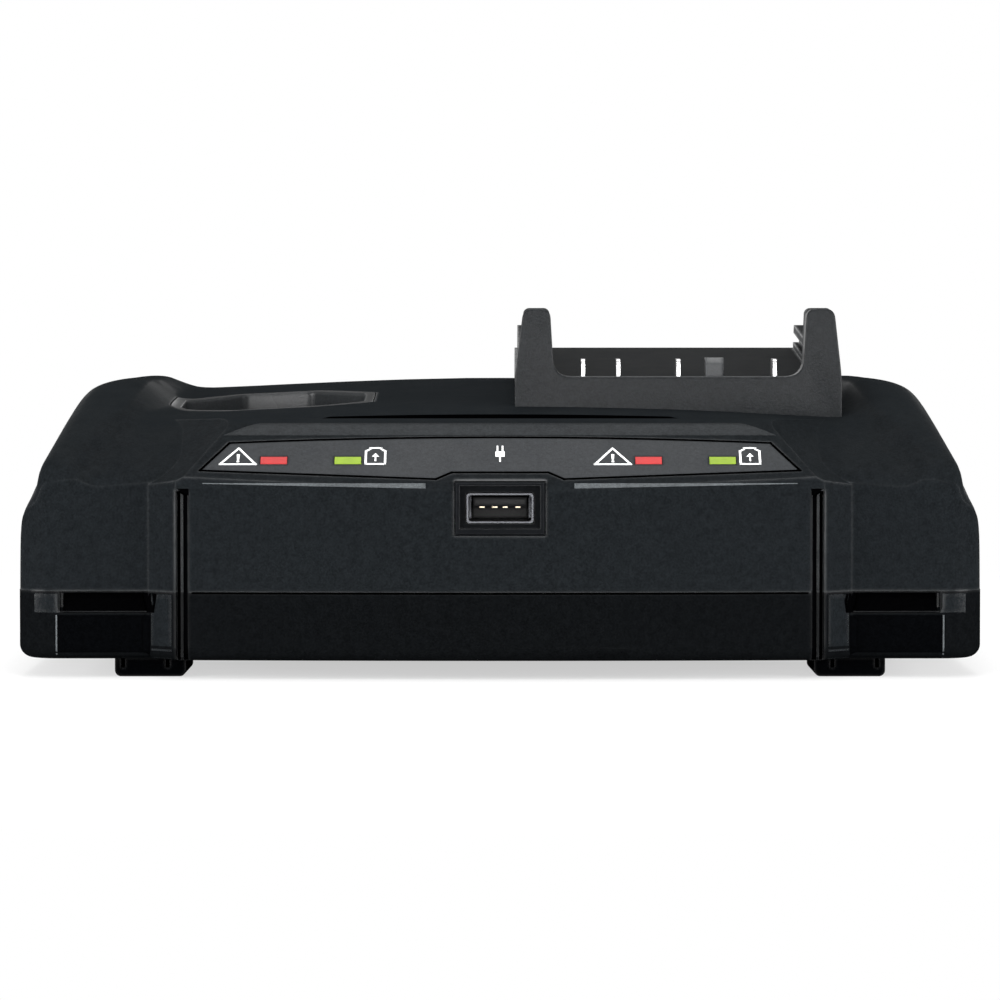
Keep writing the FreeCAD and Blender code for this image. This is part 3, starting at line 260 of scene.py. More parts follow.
def edge_group():
    """Where the surface turns a corner: a mask of the edges, and the rounded normal. Moulded plastic
    lightens its edges with the mask, partly as worn edges and partly as a painted highlight.
    """
    group, given, result = new_group(
        "edge_wear_and_highlight",
        [("Radius", "NodeSocketFloat", 0.0004), ("Wear", "NodeSocketFloat", 1.0)],
        [("Mask", "NodeSocketFloat"), ("Normal", "NodeSocketVector")],
    )
    bevel = group.nodes.new("ShaderNodeBevel")
    bevel.samples = 6
    group.links.new(given.outputs["Radius"], bevel.inputs["Radius"])
    geometry = group.nodes.new("ShaderNodeNewGeometry")
    dot = group.nodes.new("ShaderNodeVectorMath")
    dot.operation = "DOT_PRODUCT"
    group.links.new(bevel.outputs["Normal"], dot.inputs[0])
    group.links.new(geometry.outputs["Normal"], dot.inputs[1])
    turn = maths(group, "SUBTRACT", 1.0, dot.outputs["Value"], clamp=True)
    patch = noise(group, object_place(group), 260.0, detail=3.0, roughness=0.6)
    broken = maths(group, "MULTIPLY_ADD", patch, 1.5, 0.15, clamp=True)
    corner = maths(group, "MULTIPLY", turn, 3.0, clamp=True)
    mask = maths(group, "MULTIPLY", corner, broken)
    mask = maths(group, "MULTIPLY", mask, given.outputs["Wear"], clamp=True)
    group.links.new(mask, result.inputs["Mask"])
    group.links.new(bevel.outputs["Normal"], result.inputs["Normal"])
    return group


def dust_and_top_group():
    """A thin film of dust on what faces up, and a mask of what faces straight up, with which the
    moulded plastic paints light and shade on its tops.
    """
    group, given, result = new_group(
        "dust_and_top_shading",
        [("Amount", "NodeSocketFloat", 0.1), ("Patch size", "NodeSocketFloat", 0.006)],
        [("Mask", "NodeSocketFloat"), ("Top", "NodeSocketFloat")],
    )
    split = group.nodes.new("ShaderNodeSeparateXYZ")
    group.links.new(group.nodes.new("ShaderNodeNewGeometry").outputs["Normal"], split.inputs[0])
    up = maths(group, "MAXIMUM", split.outputs["Z"], 0.0)
    place = object_place(group)
    patch_scale = maths(group, "DIVIDE", 1.0, given.outputs["Patch size"])
    patch = noise(group, place, patch_scale, detail=4.0, roughness=0.62)
    level = maths(group, "MULTIPLY_ADD", patch, 2.0, -0.55, clamp=True)
    mask = maths(group, "MULTIPLY", up, level)
    mask = maths(group, "MULTIPLY", mask, given.outputs["Amount"], clamp=True)
    group.links.new(mask, result.inputs["Mask"])
    top = maths(group, "MULTIPLY_ADD", up, 9.0, -8.0, clamp=True)
    group.links.new(top, result.inputs["Top"])
    return group


def brushed_group():
    """Fine parallel scratches of drawn or plated metal, along one axis of the object."""
    group, given, result = new_group(
        "drawn_metal",
        [("Line size", "NodeSocketFloat", 0.0002), ("Stretch", "NodeSocketFloat", 12.0)],
        [("Height", "NodeSocketFloat"), ("Stain", "NodeSocketFloat")],
    )
    place = object_place(group)
    split = group.nodes.new("ShaderNodeSeparateXYZ")
    group.links.new(place, split.inputs[0])
    joined = group.nodes.new("ShaderNodeCombineXYZ")
    group.links.new(split.outputs["X"], joined.inputs[0])
    drawn = maths(group, "DIVIDE", split.outputs["Y"], given.outputs["Stretch"])
    group.links.new(drawn, joined.inputs[1])
    group.links.new(split.outputs["Z"], joined.inputs[2])
    line_scale = maths(group, "DIVIDE", 1.0, given.outputs["Line size"])
    group.links.new(noise(group, joined.outputs[0], line_scale), result.inputs["Height"])
    stain = noise(group, place, 420.0, detail=3.0, roughness=0.6)
    group.links.new(stain, result.inputs["Stain"])
    return group


def groups():
    """Every shared group by name, each made once."""
    makers = {
        "moulded_grain": grain_group, "edge_wear_and_highlight": edge_group,
        "dust_and_top_shading": dust_and_top_group, "drawn_metal": brushed_group,
    }
    return {name: bpy.data.node_groups.get(name) or make() for name, make in makers.items()}


def place_group(tree, name, **values):
    """A group's node in a material, with its plain inputs set."""
    node = tree.nodes.new("ShaderNodeGroup")
    node.node_tree = groups()[name]
    for label, value in values.items():
        node.inputs[label.replace("_", " ")].default_value = value
    return node


# Materials
def blank_material(name):
    """A new material and its Principled shader."""
    material = bpy.data.materials.new(name)
    material.use_nodes = True
    return material, material.node_tree, material.node_tree.nodes["Principled BSDF"]


def tint(tree, mask, first, second):
    """A colour that goes from one to another with a mask."""
    mix = tree.nodes.new("ShaderNodeMix")
    mix.data_type = "RGBA"
    tree.links.new(mask, mix.inputs["Factor"])
    for socket, value in ((mix.inputs["A"], first), (mix.inputs["B"], second)):
        if isinstance(value, bpy.types.NodeSocket):
            tree.links.new(value, socket)
        else:
            socket.default_value = (*value, 1.0)
    return mix.outputs["Result"]


def lighter(colour, factor):
    """A colour times a factor, which darkens it below 1."""
    return tuple(min(1.0, channel * factor) for channel in colour)


def roughen(tree, shader, height, normal, strength, distance):
    """Give the shader a normal bumped by a height."""
    bump = tree.nodes.new("ShaderNodeBump")
    bump.inputs["Strength"].default_value = strength
    bump.inputs["Distance"].default_value = distance
    tree.links.new(height, bump.inputs["Height"])
    tree.links.new(normal, bump.inputs["Normal"])
    tree.links.new(bump.outputs["Normal"], shader.inputs["Normal"])


def moulded_plastic(
    name, colour, roughness, grain, bump,
    dust=0.25, wear_highlight_level=0.6, specular=0.3, radius=None, shine=0.0, top=0.5,
):
    """Moulded plastic: grain in height and tone, rounded edges, a little dust on top.

    shine polishes the edges, and top scales the colour of what faces straight up: a painted highlight
    above 1, painted shade below 1.
    """
    radius = radius or bpy.context.scene.charger_finish.edge_round
    material, tree, shader = blank_material(name)
    texture = place_group(tree, "moulded_grain", Grain_size=grain, Patch_size=0.018)
    edge = place_group(tree, "edge_wear_and_highlight", Radius=radius, Wear=wear_highlight_level)
    # Besides the dust, this group gives the mask of what faces straight up, used below for painted
    # light and shade on tops
    film = place_group(tree, "dust_and_top_shading", Amount=dust)
    base = tint(tree, texture.outputs["Speckle"], lighter(colour, 0.72), lighter(colour, 1.35))
    # Tops lighter or darker by the top setting: painted light and shade, not a colour of the plastic
    base = tint(tree, film.outputs["Top"], base, lighter(colour, top))
    # Edges lighter: partly worn edges, partly a painted highlight along them
    base = tint(tree, edge.outputs["Mask"], base, lighter(colour, 2.2))
    base = tint(tree, film.outputs["Mask"], base, DUST_COLOUR)
    tree.links.new(base, shader.inputs["Base Color"])
    rough = maths(tree, "MULTIPLY_ADD", texture.outputs["Patch"], 0.16, roughness - 0.08)
    rough = maths(tree, "MULTIPLY_ADD", edge.outputs["Mask"], -0.14, rough, clamp=True)
    rough = maths(tree, "MULTIPLY_ADD", film.outputs["Top"], 0.6, rough, clamp=True)
    tree.links.new(rough, shader.inputs["Roughness"])
    roughen(tree, shader, texture.outputs["Height"], edge.outputs["Normal"], bump, grain * 0.3)
    shader.inputs["Specular IOR Level"].default_value = specular
    if shine:
        polished = maths(tree, "MULTIPLY", edge.outputs["Mask"], shine, clamp=True)
        tree.links.new(polished, shader.inputs["Coat Weight"])
        shader.inputs["Coat Roughness"].default_value = 0.3
    return material


def plated_metal(name, colour, roughness, line=0.0002, stretch=12.0, wear_highlight_level=0.5):
    """Plated or drawn metal with fine lines, slight stains and bright edges."""
    material, tree, shader = blank_material(name)
    texture = place_group(tree, "drawn_metal", Line_size=line, Stretch=stretch)
    edge = place_group(tree, "edge_wear_and_highlight", Radius=0.00015, Wear=wear_highlight_level)
    base = tint(tree, texture.outputs["Stain"], lighter(colour, 0.82), lighter(colour, 1.1))
    base = tint(tree, edge.outputs["Mask"], base, lighter(colour, 1.25))
    tree.links.new(base, shader.inputs["Base Color"])
    rough = maths(tree, "MULTIPLY_ADD", texture.outputs["Stain"], 0.18, roughness - 0.09, clamp=True)
    tree.links.new(rough, shader.inputs["Roughness"])
    roughen(tree, shader, texture.outputs["Height"], edge.outputs["Normal"], 0.25, line * 0.2)
    shader.inputs["Metallic"].default_value = 1.0
    return material


def light_bar(name, colour):
    """Tinted clear bar, unlit: brighter in its middle, frosted on its face."""
    material, tree, shader = blank_material(name)
    texture = place_group(tree, "moulded_grain", Grain_size=0.0005, Patch_size=0.003)
    edge = place_group(tree, "edge_wear_and_highlight", Radius=0.0002, Wear=0.8)
    base = tint(tree, texture.outputs["Patch"], lighter(colour, 0.75), lighter(colour, 1.3))
    base = tint(tree, edge.outputs["Mask"], base, lighter(colour, 0.5))
    tree.links.new(base, shader.inputs["Base Color"])
    rough = maths(tree, "MULTIPLY_ADD", texture.outputs["Patch"], 0.2, 0.25)
    tree.links.new(rough, shader.inputs["Roughness"])
    tree.links.new(edge.outputs["Normal"], shader.inputs["Normal"])
    shader.inputs["Specular IOR Level"].default_value = 0.05
    return material


def recipes(look):
    """Every finish by name: its maker, and what the maker is given."""
    grain = look.grain_size
    return {
        # The housing's up-facing surfaces are painted half as light again by top: painted highlight
        "housing_plastic": (moulded_plastic, dict(
            colour=look.housing_colour, roughness=0.38, grain=grain, bump=0.6, dust=0.02, wear_highlight_level=0.7,
            specular=0.002, shine=0.6, top=1.5,
        )),
        "base_plastic": (moulded_plastic, dict(
            colour=look.base_colour, roughness=0.5, grain=grain, bump=0.6, dust=0.02, wear_highlight_level=0.6,
            specular=0.0, shine=0.3,
        )),
        "bay_plastic": (moulded_plastic, dict(
            colour=look.bay_colour, roughness=0.5, grain=grain * 0.8, bump=0.4, dust=0.05, wear_highlight_level=1.0,
            specular=0.05, shine=1.0,
        )),
        "frame_plastic": (moulded_plastic, dict(
            colour=(0.03, 0.03, 0.032), roughness=0.5, grain=grain, bump=0.4,
        )),
        "detent_plastic": (moulded_plastic, dict(
            colour=(0.022, 0.024, 0.026), roughness=0.4, grain=grain * 0.6, bump=0.3,
        )),
        "bezel_plastic": (moulded_plastic, dict(
            colour=(0.0030, 0.0034, 0.0040), roughness=0.4, grain=grain * 0.6, bump=0.3, dust=0.0,
            wear_highlight_level=1.0, specular=0.01, radius=0.0003, shine=0.3,
        )),
        "tongue_plastic": (moulded_plastic, dict(
            colour=(0.003, 0.003, 0.0033), roughness=0.4, grain=grain * 0.5, bump=0.2, dust=0.0,
            wear_highlight_level=0.6, specular=0.1,
        )),
        "label_film": (moulded_plastic, dict(
            colour=look.label_colour, roughness=0.5, grain=0.00025, bump=0.25, dust=0.05, wear_highlight_level=0.2,
            specular=0.05,
        )),
        "panel_ink": (moulded_plastic, dict(
            colour=look.ink_colour, roughness=0.5, grain=0.0002, bump=0.1, dust=0.0, wear_highlight_level=0.0,
        )),
        "panel_line": (moulded_plastic, dict(
            colour=(0.0002, 0.0002, 0.0002), roughness=0.6, grain=0.0002, bump=0.1, dust=0.0,
            wear_highlight_level=0.0, specular=0.0,
        )),
        # Near-black laid where the shell is in shade: painted shade in the grooves, the vent recesses
        # and behind the brow
        "recess_plastic": (moulded_plastic, dict(
            colour=(0.0004, 0.0004, 0.0005), roughness=0.6, grain=grain, bump=0.3, dust=0.0,
            wear_highlight_level=0.3, specular=0.0,
        )),
        # Dark tone laid on the lower vent panel, which faces a little down: painted shade
        "panel_shade": (moulded_plastic, dict(
            colour=(0.0008, 0.0009, 0.0011), roughness=0.5, grain=grain, bump=0.5, dust=0.0,
            wear_highlight_level=0.5, specular=0.0,
        )),
        # Light tone laid where edges catch the light: painted highlight on the rolled edge under the
        # panel and on the vent rim
        "polished_rim": (moulded_plastic, dict(
            colour=(0.058, 0.064, 0.068), roughness=0.4, grain=grain, bump=0.3, dust=0.0, wear_highlight_level=0.3,
            specular=0.1,
        )),
        # Lighter tone laid on the panel's brow where it catches the top light: painted highlight
        "brow_plastic": (moulded_plastic, dict(
            colour=(0.0135, 0.0150, 0.0162), roughness=0.5, grain=grain, bump=0.5, dust=0.0,
            wear_highlight_level=0.0, specular=0.03,
        )),
        # Bay frame plastic, glossier, with what faces straight up painted four times lighter: painted
        # highlight on its tops
        "frame_gloss": (moulded_plastic, dict(
            colour=(0.0068, 0.0076, 0.0084), roughness=0.35, grain=grain, bump=0.6, dust=0.0,
            wear_highlight_level=0.4, specular=0.08, radius=0.0004, shine=0.3, top=4.0,
        )),
        "pod_plastic": (moulded_plastic, dict(
            colour=look.bay_colour, roughness=0.3, grain=grain, bump=0.3, dust=0.02, wear_highlight_level=0.4,
            specular=0.2, shine=0.4,
        )),
        "circuit_board": (moulded_plastic, dict(
            colour=(0.02, 0.13, 0.05), roughness=0.35, grain=0.0012, bump=0.2, dust=0.1, wear_highlight_level=0.5,
            specular=0.5,
        )),
        "black_rubber": (moulded_plastic, dict(
            colour=(0.0006, 0.0007, 0.0009), roughness=0.4, grain=grain, bump=0.3, dust=0.0,
            wear_highlight_level=0.6, specular=0.0, shine=0.2,
        )),
        "ferrite": (moulded_plastic, dict(
            colour=(0.05, 0.05, 0.052), roughness=0.55, grain=0.0005, bump=0.6,
        )),
        "winding_tape": (moulded_plastic, dict(
            colour=(0.7, 0.52, 0.08), roughness=0.35, grain=0.0008, bump=0.3,
        )),
        "chip_plastic": (moulded_plastic, dict(
            colour=(0.02, 0.02, 0.02), roughness=0.5, grain=0.0004, bump=0.4,
        )),
        "capacitor_sleeve": (moulded_plastic, dict(
            colour=(0.012, 0.016, 0.05), roughness=0.28, grain=0.002, bump=0.2, specular=0.5,
        )),
        "film_case": (moulded_plastic, dict(
            colour=(0.55, 0.42, 0.06), roughness=0.4, grain=0.0008, bump=0.3,
        )),
        "fuse_case": (moulded_plastic, dict(
            colour=(0.12, 0.12, 0.12), roughness=0.45, grain=0.0006, bump=0.4,
        )),
        "plate_film": (moulded_plastic, dict(
            colour=(0.3, 0.31, 0.32), roughness=0.4, grain=0.0006, bump=0.2,
        )),
        "wire_cover": (moulded_plastic, dict(
            colour=(0.42, 0.03, 0.02), roughness=0.4, grain=0.0006, bump=0.3,
        )),
        "light_chip": (moulded_plastic, dict(
            colour=(0.85, 0.82, 0.6), roughness=0.3, grain=0.0004, bump=0.2,
        )),
        "red_lens": (light_bar, dict(colour=look.red_colour)),
        "green_lens": (light_bar, dict(colour=look.green_colour)),
        "plated_blade": (plated_metal, dict(colour=look.metal_colour, roughness=0.3)),
        "outlet_metal": (plated_metal, dict(colour=(0.045, 0.046, 0.05), roughness=0.3)),
        "contact_metal": (plated_metal, dict(colour=(0.42, 0.36, 0.27), roughness=0.3, line=0.00012)),
        "spring_steel": (plated_metal, dict(
            colour=(0.5, 0.5, 0.5), roughness=0.35, line=0.00008, stretch=4.0,
        )),
        "screw_steel": (plated_metal, dict(colour=(0.45, 0.45, 0.44), roughness=0.38)),
        "copper_wire": (plated_metal, dict(
            colour=(0.72, 0.3, 0.12), roughness=0.3, line=0.0003, stretch=2.0,
        )),
        "sink_aluminium": (plated_metal, dict(
            colour=(0.68, 0.69, 0.7), roughness=0.4, line=0.0002, stretch=20.0,
        )),
    }


def finish(name):
    """The material of that name, made the first time it is asked for."""
    label = f"{name}_look"
    known = bpy.data.materials.get(label)
    if known:
        return known
    maker, given = recipes(bpy.context.scene.charger_finish)[name]
    return maker(label, **given)


# Nodes whose finish isn't that of their slot
FINISH_OF_NODE = {
    "lower_housing": "base_plastic",
    "pod_socket": "pod_plastic",
}


def wear_finish(obj, name):
    """Gives an object one material."""
    obj.data.materials.clear()
    obj.data.materials.append(finish(name))


class CHARGER_OT_finishes(bpy.types.Operator):
    """Give every solid of the charger its finish"""
    bl_idname = "charger.finishes"
    bl_label = "Finishes"

    def execute(self, context):
        for part in frame["record"]["subparts"]:
            node = part["node"]
            obj = frame["nodes"][node]
            material = finish(FINISH_OF_NODE.get(node, part["material_slot"]))
            if not obj.material_slots:
                obj.data.materials.append(None)
            for place in obj.material_slots:
                place.material = material
        return {"FINISHED"}


# Pieces that lie on the shells
def shell_trees(*nodes):
    """The faces of some CAD nodes, to find points on them."""
    trees = []
    for node in nodes:
        mesh = frame["nodes"][node].data
        corners = [vertex.co for vertex in mesh.vertices]
        trees.append(BVHTree.FromPolygons(corners, [face.vertices for face in mesh.polygons]))
    return trees


def first_hit(trees, start, direction):
    """The nearest point that a ray meets."""
    hits = [tree.ray_cast(start, direction)[0] for tree in trees]
    hits = [hit for hit in hits if hit is not None]
    if not hits:
        raise RuntimeError(f"no surface at {tuple(start)}")
    return min(hits, key=lambda hit: (hit - start).length)


def front_point(trees, x, z):
    """The point of the front at a width and a height, in millimetres."""
    return first_hit(trees, Vector((x * MM, -1, z * MM)), Vector((0, 1, 0)))


def top_point(trees, x, y):
    """The point of the top at a width and a depth, in millimetres."""
    return first_hit(trees, Vector((x * MM, y * MM, 1)), Vector((0, 0, -1)))


def close_solid(mesh, near, far):
    """Faces between two outlines with the same number of corners, and over both of them."""
    mesh.faces.new(near)
    mesh.faces.new(list(reversed(far)))
    for n in range(len(near)):
        m = (n + 1) % len(near)
        mesh.faces.new((near[m], near[n], far[n], far[m]))
    bmesh.ops.recalc_face_normals(mesh, faces=mesh.faces)


def evenly(first, last, count):
    """Points from one to another, both kept."""
    first, last = Vector(first), Vector(last)
    return [first.lerp(last, n / (count - 1)) for n in range(count)]


def laid_band(name, places, lift, material):
    """A thin band through rows of points on the shells, raised along a direction."""
    mesh = bmesh.new()
    rows = [[mesh.verts.new(point + lift) for point in row] for row in places]
    for low, high in zip(rows, rows[1:]):
        for n in range(len(low) - 1):
            mesh.faces.new((low[n], low[n + 1], high[n + 1], high[n]))
    back = bmesh.ops.extrude_face_region(mesh, geom=mesh.faces[:])["geom"]
    corners = [part for part in back if isinstance(part, bmesh.types.BMVert)]
    bmesh.ops.translate(mesh, vec=-BAND_DEPTH * lift, verts=corners)
    bmesh.ops.recalc_face_normals(mesh, faces=mesh.faces)
    return shell_piece(name, mesh, material)


def shell_piece(name, mesh, material):
    """An object from a bmesh that rides on the housing."""
    data = bpy.data.meshes.new(name)
    mesh.to_mesh(data)
    mesh.free()
    obj = bpy.data.objects.new(name, data)
    bpy.context.collection.objects.link(obj)
    wear_finish(obj, material)
    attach(obj, "housing")
    return obj


# The joint between the shells: half of its length in millimetres, and the points along it
JOINT_LINE = (60.2, 31)
# The painted shade in the groove beside the light block: its two edges, lowest point and step in
# millimetres, and points
BLOCK_GROOVE = ((60.7, 63.1), 3.8, 1.4, 25)
# Each band on the deck, a painted highlight on the brow and a painted shade line behind it: half width
# and place of its front row and its back row, in millimetres
DECK_BANDS = (
    ("brow_painted_highlight", (54.5, -60.4), (47.5, -56.6), "brow_plastic"),
    ("deck_painted_shade", (38.0, -48.0), (34.0, -45.6), "recess_plastic"),
)
DECK_ROWS, DECK_COLUMNS = 9, 41
# The painted highlight along the rolled edge under the panel: inner and outer end, lowest and highest,
# in millimetres
CREASE_HIGHLIGHT = (14.5, 58.0, 37.5, 38.5)
# Its height at the outer end in millimetres, points along it, and rows as shares of the height
ROLLED_TIP, ROLLED_COLUMNS, ROLLED_SHARES = 0.15, 17, (0.0, 0.33, 0.67, 1.0)
# Each band of a vent corner, painted shade on the recess and the panel under it and painted highlight
# on the column, cheek and rim: inner and outer side, bottom, top, slant in millimetres, then its rows
VENT_BANDS = (
    ("vent_recess_painted_shade", (67.2, 85.7, 12.9, 16.7, 0.6, 2), "recess_plastic"),
    ("vent_panel_painted_shade", (68.6, 86.8, 4.2, 12.4, 0.0, 9), "panel_shade"),
    ("column_painted_highlight", (64.2, 68.4, 4.0, 16.6, 0.0, 9), "housing_plastic"),
    ("cheek_painted_highlight", (85.9, 91.5, 12.9, 16.6, 0.0, 5), "housing_plastic"),
    ("rim_painted_highlight", (86.9, 87.2, 4.6, 12.4, 0.0, 9), "polished_rim"),
)
VENT_COLUMNS = 13


def joint_rows(shells, height, width):
    """The line between the two shells across the front."""
    reach, count = JOINT_LINE
    across = evenly((-reach, 0), (reach, 0), count)
    edges = (height - width / 2, height + width / 2)
    return [[front_point(shells, p.x, z) for p in across] for z in edges]


def groove_rows(shells, side):
    """The painted shade in the groove beside the light block, on one side."""
    edges, lowest, step, count = BLOCK_GROOVE
    return [[front_point(shells, x * side, lowest + n * step) for n in range(count)] for x in edges]


def vent_rows(shells, side, shape):
    """One band of a vent corner, from its bottom to its top."""
    inner, outer, bottom, top, slant, count = shape
    rows = []
    for end in evenly((inner + slant, bottom), (inner, top), count):
        across = evenly((end.x * side, 0), (outer * side, 0), VENT_COLUMNS)
        rows.append([front_point(shells, p.x, end.y) for p in across])
    return rows


def crease_highlight_rows(shells, side):
    """The painted highlight along the rolled edge under the panel, which thins out to the side."""
    inner, outer, bottom, top = CREASE_HIGHLIGHT
    across = evenly((inner * side, 0), (outer * side, 0), ROLLED_COLUMNS)
    low = evenly((0, bottom), (0, top - ROLLED_TIP), ROLLED_COLUMNS)
    return [
        [front_point(shells, p.x, z.y + (top - z.y) * share) for p, z in zip(across, low)]
        for share in ROLLED_SHARES
    ]


def deck_rows(shells, start, end):
    """A band across the deck, from its front to its back."""
    return [
        [top_point(shells, p.x, place.y) for p in evenly((-place.x, 0), (place.x, 0), DECK_COLUMNS)]
        for place in evenly(start, end, DECK_ROWS)
    ]


class CHARGER_OT_trim(bpy.types.Operator):
    """Lay the joint line on the shells, with painted shade in the grooves, the vent recesses and behind
    the brow, and painted highlights on the vent corners, the brow and the rolled edges
    """
    bl_idname = "charger.trim"
    bl_label = "Joints and recesses"

    def execute(self, context):
        trim = context.scene.charger_trim
        shells = shell_trees("upper_housing", "lower_housing")
        out = Vector((0, -BAND_LIFT, 0))
        joint = joint_rows(shells, trim.joint_height / MM, trim.joint_width / MM)
        laid_band("shell_joint_middle", joint, out, "panel_line")
        for side, label in SIDES:
            # Near-black band in the groove beside the light block: painted shade
            laid_band(f"groove_painted_shade_{label}", groove_rows(shells, side), out, "recess_plastic")
            for name, shape, finish_name in VENT_BANDS:
                # Vent corner bands: painted shade in the recess and on the panel, painted highlights on
                # the column, cheek and rim
                laid_band(f"{name}_{label}", vent_rows(shells, side, shape), out, finish_name)
        deck = shell_trees("upper_housing")
        # Deck bands: a painted highlight on the brow, and a painted shade line behind it
        for name, start, end, finish_name in DECK_BANDS:
            laid_band(name, deck_rows(deck, start, end), Vector((0, 0, BAND_LIFT)), finish_name)
        for side, label in SIDES:
            # Light band along the rolled edge under the panel: painted highlight
            laid_band(f"crease_painted_highlight_{label}", crease_highlight_rows(shells, side), out, "polished_rim")
        return {"FINISHED"}


def rounded_outline(corners, steps=6):
    """A closed outline from corners of (x, z, radius), each turned by a short curve."""
    points = []
    count = len(corners)
    for n, (x, z, radius) in enumerate(corners):
        here = Vector((x, z))
        back = (Vector(corners[n - 1][:2]) - here).normalized() * radius
        ahead = (Vector(corners[(n + 1) % count][:2]) - here).normalized() * radius
        for k in range(steps + 1):
            share = k / steps
            points.append(here + back * (1 - share) ** 2 + ahead * share ** 2)
    return points


# The bay's front frame seen from the front: width, height and corner curve, in millimetres
BAY_FRAME = (
    (3.0, 49.5, 0.5), (3.0, 58.4, 3.0), (4.7, 72.55, 1.9), (10.1, 72.55, 1.9), (10.9, 58.85, 3.6),
    (61.1, 58.85, 3.6), (61.9, 72.55, 1.9), (67.4, 72.55, 1.9), (69.0, 58.4, 3.0), (69.0, 48.5, 0.5),
)


class CHARGER_OT_bay(bpy.types.Operator):
    """Lay the rounded frame on the front of the slide-on bay"""
    bl_idname = "charger.bay"
    bl_label = "Slide-on bay"

    def execute(self, context):
        trim = context.scene.charger_trim
        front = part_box("slide_dock")[0].y - trim.bay_proud
        outline = rounded_outline(BAY_FRAME)
        mesh = bmesh.new()
        near = [mesh.verts.new((p.x * MM, front, p.y * MM)) for p in outline]
        far = [mesh.verts.new((p.x * MM, front + trim.bay_depth, p.y * MM)) for p in outline]
        close_solid(mesh, near, far)
        rim = [mesh.edges.get((near[n - 1], near[n])) for n in range(len(near))]
        bmesh.ops.bevel(
            mesh, geom=rim, offset=trim.bay_round, segments=5, profile=0.5,
            affect="EDGES", clamp_overlap=True,
        )
        for face in mesh.faces:
            face.smooth = True
        # Its finish paints the frame's up-facing tops four times lighter: painted highlight
        shell_piece("bay_front_frame", mesh, "frame_gloss")
        return {"FINISHED"}


class CHARGER_OT_spring(bpy.types.Operator):
    """Copy the catch's spring as a smooth-shaded piece on the housing, and hide the CAD spring"""
    bl_idname = "charger.spring"
    bl_label = "Catch spring"

    def execute(self, context):
        mesh = bmesh.new()
        mesh.from_mesh(frame["nodes"]["detent_spring"].data)
        for face in mesh.faces:
            face.smooth = True
        piece = shell_piece("catch_spring", mesh, "spring_steel")
        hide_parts("detent_spring")
        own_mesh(piece)
        return {"FINISHED"}


# Panel artwork
def panel_frame():
    """The panel's middle line: a point at its foot, and the directions across, up and out."""
    label = frame["nodes"]["panel_label"].data
    top = max((p for p in label.polygons), key=lambda p: p.area * (1 if p.normal.z > 0.5 else 0))
    out = top.normal.normalized()
    across = Vector((1, 0, 0))
    up = out.cross(across).normalized()
    if up.z < 0:
        up = -up
    point = label.vertices[top.vertices[0]].co
    foot_y = FILM_FRONT
    foot_z = point.z + (out.y * (point.y - foot_y)) / out.z
    return Vector((0, foot_y, foot_z)), across, up, out


def flat_strokes(name, strokes, material):
    """One mesh of thin flat bars, each a closed outline of (across, up) points in millimetres."""
    foot, across, up, out = panel_frame()
    thick = bpy.context.scene.charger_panel.ink_thickness
    mesh = bmesh.new()
    for points in strokes:
        low = [mesh.verts.new(foot + across * x * MM + up * u * MM + out * INK_GAP) for x, u in points]
        high = [mesh.verts.new(v.co + out * thick) for v in low]
        close_solid(mesh, high, low)
    return shell_piece(name, mesh, material)


def panel_edge():
    """The outline of the panel film's face, as (across, up) points in millimetres."""
    foot, across, up, out = panel_frame()
    mesh = bmesh.new()
    mesh.from_mesh(frame["nodes"]["panel_label"].data)
    bmesh.ops.remove_doubles(mesh, verts=mesh.verts, dist=0.00001)
    faces = {face for face in mesh.faces if face.normal.dot(out) > 0.9}
    rim = [edge for edge in mesh.edges if len([face for face in edge.link_faces if face in faces]) == 1]
    links = {}
    for edge in rim:
        for vert, other in (edge.verts, reversed(edge.verts)):
            links.setdefault(vert, []).append(other)
    start = max(links, key=lambda vert: vert.co.y)
    path, before = [start], None
    while True:
        step = [vert for vert in links[path[-1]] if vert is not before]
        before = path[-1]
        if step[0] is start:
            break
        path.append(step[0])
    points = [((vert.co - foot).dot(across) / MM, (vert.co - foot).dot(up) / MM) for vert in path]
    mesh.free()
    return points


def line_bars(points, width):
    """A closed line as square-ended bars of a width: outlines for flat_strokes."""
    bars = []
    for n, point in enumerate(points):
        start, end = Vector(point), Vector(points[(n + 1) % len(points)])
        along = (end - start).normalized()
        side = Vector((-along.y, along.x)) * width / 2
        start, end = start - along * width / 2, end + along * width / 2
        bars.append([start - side, end - side, end + side, start + side])
    return bars


def block_bars(x, up, blocks):
    """Solid blocks of a pictogram, each given as points round its middle line and foot."""
    return [[(x + across, up + rise) for across, rise in block] for block in blocks]


# Pictograms, in millimetres from the middle and the foot: first their solid marks
FAULT_MARKS = (
    ((-0.22, 1.5), (0.22, 1.5), (0.3, 3.1), (-0.3, 3.1)),
    ((-0.25, 0.65), (0.25, 0.65), (0.25, 1.15), (-0.25, 1.15)),
)
ARROW_MARKS = (
    ((-0.16, 0.9), (0.16, 0.9), (0.16, 2.4), (-0.16, 2.4)),
    ((-0.7, 2.3), (0.7, 2.3), (0.0, 3.4)),
)
PLUG_BODY = ((-0.9, 1.6), (0.9, 1.6), (0.9, 3.2), (-0.9, 3.2))
PLUG_LEAD = ((-0.16, 0.0), (0.16, 0.0), (0.16, 1.6), (-0.16, 1.6))
PLUG_PINS = (-0.5, 0.5)
PIN_HALF, PIN_FOOT = 0.16, 3.2
# Half of the width as a share of the height
FAULT_HALF, PACK_HALF = 0.70, 0.38
# The pack's outline under its top: where the shoulder begins and ends, and how far in its neck is
PACK_SHOULDER, PACK_STEP, PACK_CORNER = 1.0, 0.35, 0.8


